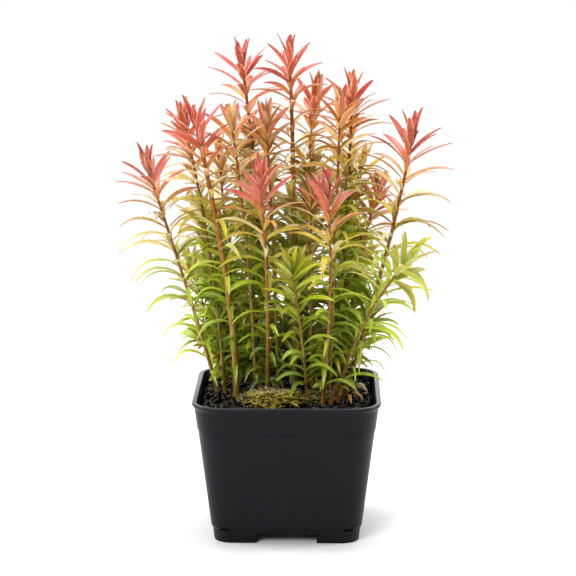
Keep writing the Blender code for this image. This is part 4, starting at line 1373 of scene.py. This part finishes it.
def leaf_surfaces(leaves, settings, chances):
    """Many leaves at once: a section of six points, cupped up to both edges, grooved along
    its midrib and keeled below, carried along each leaf's bow, narrow at its foot, widest
    before its middle and closed by a point. Returns points, faces, and for each point how
    far along and across its leaf it lies and whether it is on the underside."""
    count = len(leaves)
    base, chord, bow, side, width, below = (
        np.array([leaf[key] for leaf in leaves])
        for key in ("base", "chord", "bow", "side", "width", "below"))
    cup, opening = (np.array([leaf.get(key, 1.0) for leaf in leaves]) for key in ("cup", "opening"))
    cup = settings.cup * chances.uniform(*CUP_CHANCES, count) * cup
    sway = chances.normal(0, SWAY, count) * np.linalg.norm(chord, axis=1)
    wave = chances.normal(0, RIPPLE, (count, 2))
    twist = chances.normal(0, TWIST, count)
    chord, bow = open_out(base, chord, bow, side, below, opening)
    reach = np.linalg.norm(chord, axis=1, keepdims=True)
    raised = np.cross(chord, side) / reach
    bow = bow * chances.uniform(*BOW_CHANCES, (count, 1))
    bow = bow + raised * reach * chances.uniform(0, 0.045, (count, 1))
    share = np.append(BLADE_RINGS, 1.0)[None, :, None]
    hook = raised * reach * HOOK * np.clip(below / HOOK_REACH, 0, 1)[:, None]
    middle = base[:, None] + chord[:, None] * share + bow[:, None] * 4 * share * (1 - share)
    middle = middle - hook[:, None] * share**4 + side[:, None] * (sway[:, None, None] * share**2)
    along = unit(chord[:, None] + bow[:, None] * 4 * (1 - 2 * share) - hook[:, None] * 4 * share**3)
    across = unit(side[:, None] - along * np.einsum("nk,nrk->nr", side, along)[:, :, None])
    above = np.cross(along, across)
    level = np.clip((base[:, 2] - LEVEL_FROM) / 0.040, 0, 1) * np.clip((below - 0.007) / 0.009, 0, 1)
    roll = chances.normal(0, ROLL_SPREAD, count) * (1 - 0.5 * level)
    roll = roll + ROLL_TO_FRONT * side[:, 1] * (1 - level)
    angle = (roll[:, None] + twist[:, None] * (BLADE_RINGS[None] - 0.2))[:, :, None]
    across = across[:, :-1] * np.cos(angle) + above[:, :-1] * np.sin(angle)
    above = np.cross(along[:, :-1], across)
    profile = np.sin(math.pi * BLADE_RINGS**BLADE_BELLY) ** BLADE_BLUNT
    profile = BLADE_FOOT * (1 - BLADE_RINGS) ** 6 + profile
    young = YOUNG_GAIN * np.exp(-((np.maximum(below, 0) / YOUNG_LEAVES) ** 2))
    low = np.clip((LOW_TOP - base[:, 2]) / LOW_REACH, 0, 1)
    breadth = settings.breadth * (1 + young - 0.10 * level - LOW_LOSS * low)
    breadth = breadth * chances.uniform(*BREADTH_CHANCES, count)
    half = ((width * breadth)[:, None] / 2 * profile)[:, :, None]
    ripple = wave[:, None, :1] * np.sin(7 * BLADE_RINGS)[None, :, None]
    ripple = ripple + wave[:, None, 1:] * np.cos(9 * BLADE_RINGS)[None, :, None] * np.sign(BLADE_SIDE)
    lift = half * BLADE_CUP * (cup[:, None, None] + ripple)
    lift = lift - settings.thickness * BLADE_DROP * (0.35 + 0.65 * profile)[None, :, None]
    points = middle[:, :-1, None] + across[:, :, None] * (half * BLADE_SIDE)[..., None]
    points = (points + above[:, :, None] * lift[..., None]).reshape(count, -1, 3)
    rings, round_it = len(BLADE_RINGS), len(BLADE_SIDE)
    each = rings * round_it + 1
    last = each - 1 - round_it + np.arange(round_it)
    walls = grid_quads(rings, round_it)[:, (0, 3, 2, 1)]
    faces = (walls, fan(last[::-1], each - 1), [tuple(range(round_it))])
    blade = np.broadcast_arrays(BLADE_RINGS[:, None], BLADE_SIDE, BLADE_DROP > 0.5)
    blade = np.concatenate([np.stack(blade, axis=-1).reshape(-1, 3), [(1.0, 0.0, 0.5)]])
    return (
        np.concatenate([points, middle[:, -1:]], axis=1),
        [repeat_faces(some, count, each) for some in faces], np.tile(blade, (count, 1)), each)


def heart_leaves(shoot, chances):
    """The youngest leaves over the end of a stem, in crossed pairs: the inner pair nearly
    upright, the outer pair leaning out more, both bent back at their tips."""
    here, up, first, second = shoot.frame(0.0)
    leaves = []
    for rank in range(len(HEART_LEANS) * 2):
        tier = rank // 2
        turn = math.pi / 2 - tier * math.pi / 4 + (rank % 2) * math.pi + chances.uniform(-0.3, 0.3)
        out = heading(first, second, turn)
        lean = math.radians(HEART_LEANS[tier] + chances.uniform(-5, 6))
        length = HEART_LENGTHS[tier] * chances.uniform(0.86, 1.06)
        width = HEART_WIDTHS[tier] * chances.uniform(0.9, 1.1)
        leaf = make_leaf(
            here + out * 0.0005 - up * 0.0005 * tier, out, up, math.pi / 2 - lean, length,
            0.10 * math.sin(lean) - 0.03, 0.0, width, 0.0007 * tier - HEART_ABOVE)
        leaves.append(leaf | {"cup": 1.4})
    return leaves


def signature_leaf(shoot, below, turn, rise, length, width, bowed):
    """A leaf that the photo shows plainly, from its place on the stem and its own angles."""
    turn = math.radians(turn)
    out, up = np.array((math.cos(turn), math.sin(turn), 0.0)), np.array((0.0, 0.0, 1.0))
    roll = math.copysign(SIGNATURE_ROLL, math.cos(turn))
    return make_leaf(
        shoot.at(below), out, up, math.radians(rise), length, bowed, roll, width, below)


def ripeness(below, z, crown):
    """How red leaves are: as their crown near the stem's end, orange in the heart, and below
    by their height in the clump."""
    near = np.exp(-((np.maximum(below, 0) / CROWN_REACH) ** 1.5))
    high = np.clip((z - RIPE_HEIGHTS[0]) / RIPE_HEIGHTS[1], 0, 1)
    ripe = near * crown + (1 - near) * (RIPE_LOW + RIPE_GAIN * high**RIPE_POWER)
    heart = np.exp(-np.maximum(below + HEART_ABOVE, 0) / HEART_REACH)
    return ripe + (min(crown - HEART_PALER, HEART_RIPEST) - ripe) * heart * HEART_SHARE


def add_stem(pile, shoot):
    """The stem of a shoot: a round section carried up its line, thicker at its joints and
    at its foot."""
    distance = np.linspace(shoot.length, 0, int(shoot.length / STEM_RING))
    centre = shoot.at(distance).T
    up = unit(np.gradient(centre, axis=0))
    first = unit(shoot.first - up * (up @ shoot.first)[:, None])
    second = np.cross(up, first)
    joint = np.exp(-(((distance[:, None] - shoot.nodes() - JOINT[0]) / JOINT[1]) ** 2)).max(axis=1)
    joint *= np.clip((distance - 0.004) / 0.02, 0, 1)
    half = shoot.width_at(distance) * np.interp(shoot.width, *STEM_SHARES) * (1 + JOINT_GAIN * joint)
    half *= 1 + FOOT_GAIN[0] * np.exp(-(shoot.length - distance) / FOOT_GAIN[1])
    angle = (np.arange(STEM_SIDES) * 2 * math.pi / STEM_SIDES)[:, None]
    ring = first[:, None] * np.cos(angle) + second[:, None] * np.sin(angle)
    points = centre[:, None] + ring * half[:, None, None]
    points[0, :, 2] -= STEM_SINK
    ends = [points[0].mean(axis=0), centre[-1] + up[-1] * 0.0010]
    red = np.exp(-distance / STEM_RED_REACH) * (0.30 + 0.70 * shoot.crown)
    tone = np.column_stack([red, joint, centre[:, 2]])
    tone = np.concatenate([np.repeat(tone, STEM_SIDES, axis=0), tone[[0, -1]]])
    pile.add(np.concatenate([points.reshape(-1, 3), ends]), tube_faces(*points.shape[:2]), tone, look=1)


def make_shoot(shoot, settings, looks):
    """One shoot: its stem, the leaves of its solid and those that only the surface has."""
    chances = np.random.default_rng(100 + shoot.owner)
    pile = Pile()
    add_stem(pile, shoot)
    leaves = shoot.leaves + fill_in_leaves(shoot, chances) + heart_leaves(shoot, chances)
    leaves += [signature_leaf(shoot, *numbers) for numbers in SIGNATURE_LEAVES.get(shoot.name, ())]
    for leaf in leaves:
        leaf["opening"] = FRONT_OPENINGS.get(shoot.name, GREEN_OPENING if shoot.colour == "green" else 1.0)
    points, faces, blade, each = leaf_surfaces(leaves, settings, chances)
    base, chord, below = (np.array([leaf[key] for leaf in leaves]) for key in ("base", "chord", "below"))
    x, y, z = base.T
    ripe = ripeness(below, z, shoot.crown) + chances.normal(0, 0.035, len(leaves))
    # Painted shade: leaves near the clump's middle and low down get a larger shade number, which darkens
    # their colour.
    shade = np.clip(1 - np.hypot(x - SHADE_MIDDLE[0], y - SHADE_MIDDLE[1]) / SHADE_REACH, 0, 1)
    shade *= np.clip((SHADE_TOP[0] - z) / SHADE_TOP[1], 0, 1)
    shade *= 1 + 0.5 * np.clip((SHADE_DEEP[0] - z) / SHADE_DEEP[1], 0, 1)
    # Painted backlight: leaves past the clump's open sides get a shade below zero, which paints them paler.
    across = x + chord[:, 0] / 2
    painted_backlight = np.clip((np.abs(across) - OPEN_SIDES[0]) / OPEN_SIDES[1], 0, 1)
    shade -= painted_backlight * np.where(across < 0, *OPEN_SHARES)
    tone = np.column_stack([ripe, chances.uniform(0, 1, len(leaves)), shade])
    pile.add(points, faces, np.repeat(tone, each, axis=0), blade)
    piece = pile.make(f"rotala_{shoot.name}", looks, crease=LEAF_CREASE)
    place_piece(piece, [f"shoot_{shoot.name}"])


def leaf_finish(settings):
    """Leaf skin: green, olive, orange or red by its ripeness, greener at its foot, with a
    pale midrib, fine side veins, a darker edge and a dark point. Painted shade darkens leaves
    inside the clump and a random share of the low ones, and in part the dark brown upper ones;
    painted backlight pales leaves at the clump's sides and a random share of the upper ones."""
    finish = Finish(
        "leaf_skin", Subsurface_Weight=0.45, Subsurface_Radius=(0.0009, 0.0004, 0.0002),
        Subsurface_Scale=1.0, Specular_IOR_Level=0.36)
    ripe, chance, shade = finish.attribute("tone")
    along, across, under = finish.attribute("blade")
    side = across.size()
    mottle = finish.noise(520.0, 3.0)
    place = ripe + (along - 0.45) * 0.20 + (mottle - 0.5) * 0.16
    high = ripe.between(0.20, 0.42)
    plain = 1.0 - ripe.between(0.62, 0.80) * 0.60
    rib = (1.0 - side.between(0.04, 0.30)) * (1.0 - under)
    colour = finish.node("ShaderNodeValToRGB", {"stops": [
        (stop, getattr(settings, key)) for stop, key in (
            (0.0, "deep_green_and_shade"), (0.17, "green"), (0.34, "yellow_green"), (0.52, "olive"),
            (0.68, "orange"), (0.82, "coral"), (1.0, "red"))]}, {"Fac": place})
    pale = finish.mix(high, (0.300, 0.440, 0.060), (0.600, 0.340, 0.140))
    colour = finish.layers(
        colour,
        (chance.between(0.58, 0.80) * (1.0 - high) * 0.55, (0.580, 0.700, 0.060)),
        # Painted shade: a random share of the low leaves turns dark green.
        ((1.0 - chance.between(0.06, 0.46)) * (1.0 - high) * 0.60, (0.050, 0.100, 0.005)),
        # Painted shade: leaves inside the clump turn deep green.
        (shade * 0.85, settings.deep_green_and_shade),
        # Painted backlight: leaves at the clump's open sides wash toward a pale tan.
        ((0.0 - shade).between(0.0, 1.0) * plain * 0.42, (0.400, 0.360, 0.220)),
        # Dark brown on a random share of the upper leaves: partly their own colour, partly painted shade.
        ((1.0 - chance.between(0.12, 0.50)) * high * plain * 0.80, (0.074, 0.027, 0.009)),
        (rib * 0.25 * plain, (0.60, 0.46, 0.14)),
        (side.between(0.80, 1.0) * high * 0.30, (0.24, 0.045, 0.018)),
        # Painted backlight: a random share of the upper leaves turns pale, as if backlit.
        (chance.between(0.60, 0.78) * high * plain**3.0 * 0.80, (0.88, 0.72, 0.43)),
        (under.between(0.2, 0.9) * 0.40, pale),
        (along.between(0.82, 1.0) * (0.20 + high * 0.50), (0.110, 0.026, 0.024)))
    finish.feed(Base_Color=colour, Roughness=0.32 + (mottle - 0.5) * 0.20 + under * 0.15)
    veins = ((along * 95.0) - side * 9.0).wave() * 0.5 + 0.5
    finish.bump(veins * 0.20 + mottle * 0.80, 0.00006, 0.4)
    return finish.material


def stem_finish(settings):
    """Stem skin: red brown under the crown, tan and olive below, darker at its joints, with fine
    lengthwise streaks, and painted shade that darkens it near the granules."""
    finish = Finish("stem_skin", Specular_IOR_Level=0.80, Specular_Tint=(1.0, 0.70, 0.36))
    red, joint, height = finish.attribute("tone")
    streaks = finish.noise(900.0, 3.0, (1.0, 1.0, 0.10))
    blotch = finish.noise(150.0, 2.0)
    colour = finish.layers(
        settings.stem_foot,
        (blotch.between(0.35, 0.65), (0.260, 0.214, 0.030)),
        ((red + (blotch - 0.5) * 0.3).between(0.08, 0.66), settings.stem_top),
        (streaks.between(0.45, 0.75) * 0.35, (0.150, 0.045, 0.010)),
        (joint * 0.55, (0.120, 0.036, 0.012)),
        # Painted shade: darker near the granules, under the clump; the stubs of cut stems keep a fixed
        # height number and so a fixed share of it.
        ((1.0 - height.between(0.066, 0.090)) * 0.40, (0.070, 0.035, 0.012)))
    finish.feed(Base_Color=colour, Roughness=0.22 + (streaks - 0.5) * 0.12)
    finish.bump(streaks, 0.00010, 0.6)
    return finish.material


# Litter


def make_withered(name, leaf, index, settings, look):
    """A dead leaf on the granules: a leaf's form, bowed between its two ends, with strongly
    curled edges."""
    turn = math.radians(leaf["turn"])
    along = np.array((math.cos(turn), math.sin(turn), 0))
    across = np.array((-along[1], along[0], 0))
    base = np.array((*leaf["foot"], SOIL_Z + 0.0008))
    chances = np.random.default_rng(40 + index)
    grown = {
        "base": base, "chord": along * leaf["length"],
        "bow": np.array((0, 0, WITHERED_BOW)) * leaf["length"],
        "side": across, "width": leaf["width"] * WITHERED_WIDE, "below": OLD_REACH,
        "cup": WITHERED_CUP}
    points, faces, blade, _ = leaf_surfaces([grown], settings, chances)
    pile = Pile()
    pile.add(points, faces, (0.3 + 0.3 * index, 0.5, 1.0), blade)
    piece = pile.make(name.replace("withered", "dead"), [look], crease=LEAF_CREASE)
    place_piece(piece, [name])


def withered_finish():
    """Dead leaf: straw and rust blotches, darker along its edges and veins."""
    finish = Finish("dead_leaf", Specular_IOR_Level=0.3)
    along, across, _ = finish.attribute("blade")
    rust, _, _ = finish.attribute("tone")
    blotch = finish.noise(420.0, 4.0)
    colour = finish.layers(
        (0.640, 0.480, 0.300),
        (rust.between(0.3, 0.6), (0.470, 0.290, 0.050)),
        (blotch.between(0.42, 0.72), (0.230, 0.090, 0.022)),
        (across.size().between(0.6, 1.0) * 0.35, (0.160, 0.060, 0.018)))
    finish.feed(Base_Color=colour, Roughness=0.60 + (blotch - 0.5) * 0.3)
    finish.bump((along * 60.0).wave() * 0.2 + blotch * 0.8, 0.00030, 0.8)
    return finish.material


def make_cut_stem(name, stem, look):
    """The stump of a cut stem: a round section carried up a leaning line, with a joint in the
    middle and a slanting hollow top."""
    lean = unit(np.array((*stem["lean"], 1.0)))
    angle = np.arange(CUT_SIDES) * 2 * math.pi / CUT_SIDES
    circle = np.stack([np.cos(angle), np.sin(angle), 0 * angle], axis=-1)[None]
    circle = circle * stem["width"] / 2 * CUT_SIZES
    foot = np.array((*stem["foot"], SOIL_Z + GAP))
    points = foot + circle + lean * stem["length"] * CUT_SHARES
    points[..., 2] += circle[..., 0] * 0.5 * np.clip(CUT_SHARES[..., 0] * 1.4 - 0.4, 0, 1)
    points = np.concatenate([points.reshape(-1, 3), points[[0, -1]].mean(axis=1)])
    tone = np.zeros((len(CUT_SHARES), CUT_SIDES, 3)) + (CUT_RED, 0, 0.070)
    tone[..., 1] = CUT_JOINTS
    tone = np.concatenate([tone.reshape(-1, 3), [(CUT_RED, 0, 0.07), (0.2, 0.5, 0.09)]])
    pile = Pile()
    pile.add(points, tube_faces(len(CUT_SHARES), CUT_SIDES), tone)
    piece = pile.make(name.replace("cut_stem", "stem_stub"), [look], crease=CUT_CREASE)
    place_piece(piece, [name])


# Studio


def area_light(name, at, size, power, colour):
    """A rectangular light that faces the middle of the object."""
    data = bpy.data.lights.new(name, "AREA")
    data.shape = "RECTANGLE"
    data.size, data.size_y = size
    data.energy = power
    data.color = colour
    made = bpy.data.objects.new(name, data)
    made.matrix_world = facing(np.array(at), unit(np.array(at) - LIGHT_AIM))
    made.visible_camera = False
    bpy.context.collection.objects.link(made)


def facing(at, back):
    """The place of an object that looks against the direction back, upright."""
    right = unit(np.cross((0.0, 0.0, 1.0), back))
    up = np.cross(back, right)
    rows = np.column_stack([right, up, back, at])
    return Matrix([*map(list, rows), [0, 0, 0, 1]])


def make_stage(settings):
    """The floor, the lights, the white surround and the camera."""
    steps = np.linspace(0, 2 * math.pi, FLOOR_STEPS, endpoint=False)
    radius = np.array((0.15, 0.3, 0.5, FLOOR_RADIUS))[:, None]
    rings = np.stack(np.broadcast_arrays(radius * np.cos(steps), radius * np.sin(steps), FLOOR_Z), axis=-1)
    faces = [grid_quads(*rings.shape[:2])[:, ::-1], fan(np.arange(FLOOR_STEPS), len(radius) * FLOOR_STEPS)]
    pile = Pile()
    pile.add(np.concatenate([rings.reshape(-1, 3), [(0, 0, FLOOR_Z)]]), faces, (0, 0, 0))
    finish = Finish("studio_floor", Roughness=0.6, Specular_IOR_Level=0.1)
    x, y, _ = finish.parts(finish.place)
    soft = finish.noise(6.0, 2.0)
    colour = tuple(settings.floor)
    finish.feed(Base_Color=finish.mix(soft, colour, tuple(min(1.0, part * 1.03) for part in colour)))
    solid = Value(finish.tree, finish.shader.outputs[0])
    clear = finish.node("ShaderNodeBsdfTransparent")
    fade = (((x * x + y * y) ** 0.5).between(FLOOR_FADE, FLOOR_RADIUS * 0.98)) ** 1.5
    mixed = finish.node("ShaderNodeMixShader", None, {0: fade, 1: solid, 2: clear})
    plug(finish.tree, finish.tree.nodes["Material Output"].inputs["Surface"], mixed)
    floor = pile.make("studio_floor", [finish.material])

    world = bpy.data.worlds.new("studio_surround")
    bpy.context.scene.world = world
    world.use_nodes = True
    surround = Shading(world.node_tree)
    surround.tree.nodes.remove(surround.tree.nodes["Background"])
    light = surround.node("ShaderNodeBackground", None, {"Color": (0.96, 0.98, 1.0), "Strength": 0.15})
    seen = surround.node("ShaderNodeBackground", None, {"Color": (1.0, 1.0, 1.0), "Strength": 1.0})
    to_camera = surround.node("ShaderNodeLightPath", output="Is Camera Ray")
    mixed = surround.node("ShaderNodeMixShader", None, {0: to_camera, 1: light, 2: seen})
    plug(surround.tree, surround.tree.nodes["World Output"].inputs["Surface"], mixed)
    for name, (power, at, size, colour) in LIGHTS.items():
        area_light(name, at, size, getattr(settings, power), colour)

    back = np.array((
        math.sin(CAMERA_TURN) * math.cos(CAMERA_RISE), -math.cos(CAMERA_TURN) * math.cos(CAMERA_RISE),
        math.sin(CAMERA_RISE)))
    data = bpy.data.cameras.new("front_camera")
    data.lens = CAMERA_LENS
    data.clip_start = CAMERA_NEAR
    camera = bpy.data.objects.new("front_camera", data)
    camera.matrix_world = facing(CAMERA_AIM + CAMERA_AWAY * back, back)
    bpy.context.collection.objects.link(camera)
    bpy.context.scene.camera = camera
    bpy.context.scene.view_settings.view_transform = "Standard"


# Operators and panel


class ROTALA_OT_pot(Operator):
    """Builds the square nursery pot"""

    bl_idname = "rotala.pot"
    bl_label = "Pot"

    def execute(self, context):
        make_pot(context.scene.rotala_pot)
        return {"FINISHED"}


class ROTALA_OT_bed(Operator):
    """Builds the bed of granules in the pot"""

    bl_idname = "rotala.bed"
    bl_label = "Granule bed"

    def execute(self, context):
        make_bed(context.scene.rotala_bed)
        return {"FINISHED"}


class ROTALA_OT_moss(Operator):
    """Builds the moss cushion and the moss tuft"""

    bl_idname = "rotala.moss"
    bl_label = "Moss"

    def execute(self, context):
        for name in MOSS:
            make_moss(name, context.scene.rotala_bed)
        return {"FINISHED"}


class ROTALA_OT_litter(Operator):
    """Builds the dead leaves and the stubs of cut stems"""

    bl_idname = "rotala.litter"
    bl_label = "Litter"

    def execute(self, context):
        look = withered_finish()
        for index, (name, leaf) in enumerate(WITHERED.items()):
            make_withered(name, leaf, index, context.scene.rotala_foliage, look)
        look = stem_finish(context.scene.rotala_foliage)
        for name, stem in CUT_STEMS.items():
            make_cut_stem(name, stem, look)
        return {"FINISHED"}


class ROTALA_OT_shoots(Operator):
    """Builds every shoot with its stem, leaves and heart"""

    bl_idname = "rotala.shoots"
    bl_label = "Shoots"

    def execute(self, context):
        settings = context.scene.rotala_foliage
        looks = [leaf_finish(settings), stem_finish(settings)]
        shoots = [Shoot(owner, name) for owner, name in enumerate(SHOOTS, start=1)]
        lay_out_leaves(shoots)
        for shoot in shoots:
            make_shoot(shoot, settings, looks)
        return {"FINISHED"}


class ROTALA_OT_stage(Operator):
    """Builds the floor, the lights and the camera"""

    bl_idname = "rotala.stage"
    bl_label = "Studio"

    def execute(self, context):
        make_stage(context.scene.rotala_stage)
        return {"FINISHED"}


OPERATORS = (
    ROTALA_OT_stage, ROTALA_OT_pot, ROTALA_OT_bed, ROTALA_OT_moss, ROTALA_OT_litter, ROTALA_OT_shoots)
GROUPS = {
    "rotala_pot": ROTALA_PG_pot, "rotala_bed": ROTALA_PG_bed,
    "rotala_foliage": ROTALA_PG_foliage, "rotala_stage": ROTALA_PG_stage,
}


class ROTALA_PT_panel(Panel):
    """Lists the pieces and their settings"""

    bl_idname = "ROTALA_PT_panel"
    bl_label = "Potted rotala"
    bl_space_type = "VIEW_3D"
    bl_region_type = "UI"
    bl_category = "Rotala"

    def draw(self, context):
        for operator in OPERATORS:
            self.layout.operator(operator.bl_idname)
        for name in GROUPS:
            box = self.layout.box()
            settings = getattr(context.scene, name)
            for key in settings.bl_rna.properties.keys():
                if key not in ("rna_type", "name"):
                    box.prop(settings, key)


def register():
    """Makes the settings, operators and panel known."""
    for name, group in GROUPS.items():
        bpy.utils.register_class(group)
        setattr(bpy.types.Scene, name, PointerProperty(type=group))
    for each in (*OPERATORS, ROTALA_PT_panel):
        bpy.utils.register_class(each)


def unregister():
    """Takes the panel, operators and settings away again."""
    for each in reversed((*OPERATORS, ROTALA_PT_panel)):
        bpy.utils.unregister_class(each)
    for name, group in reversed(GROUPS.items()):
        delattr(bpy.types.Scene, name)
        bpy.utils.unregister_class(group)


def main():
    """Builds everything."""
    register()
    bpy.ops.rotala.stage()
    bpy.ops.rotala.pot()
    bpy.ops.rotala.bed()
    bpy.ops.rotala.moss()
    bpy.ops.rotala.litter()
    bpy.ops.rotala.shoots()


if __name__ == "__main__":
    main()
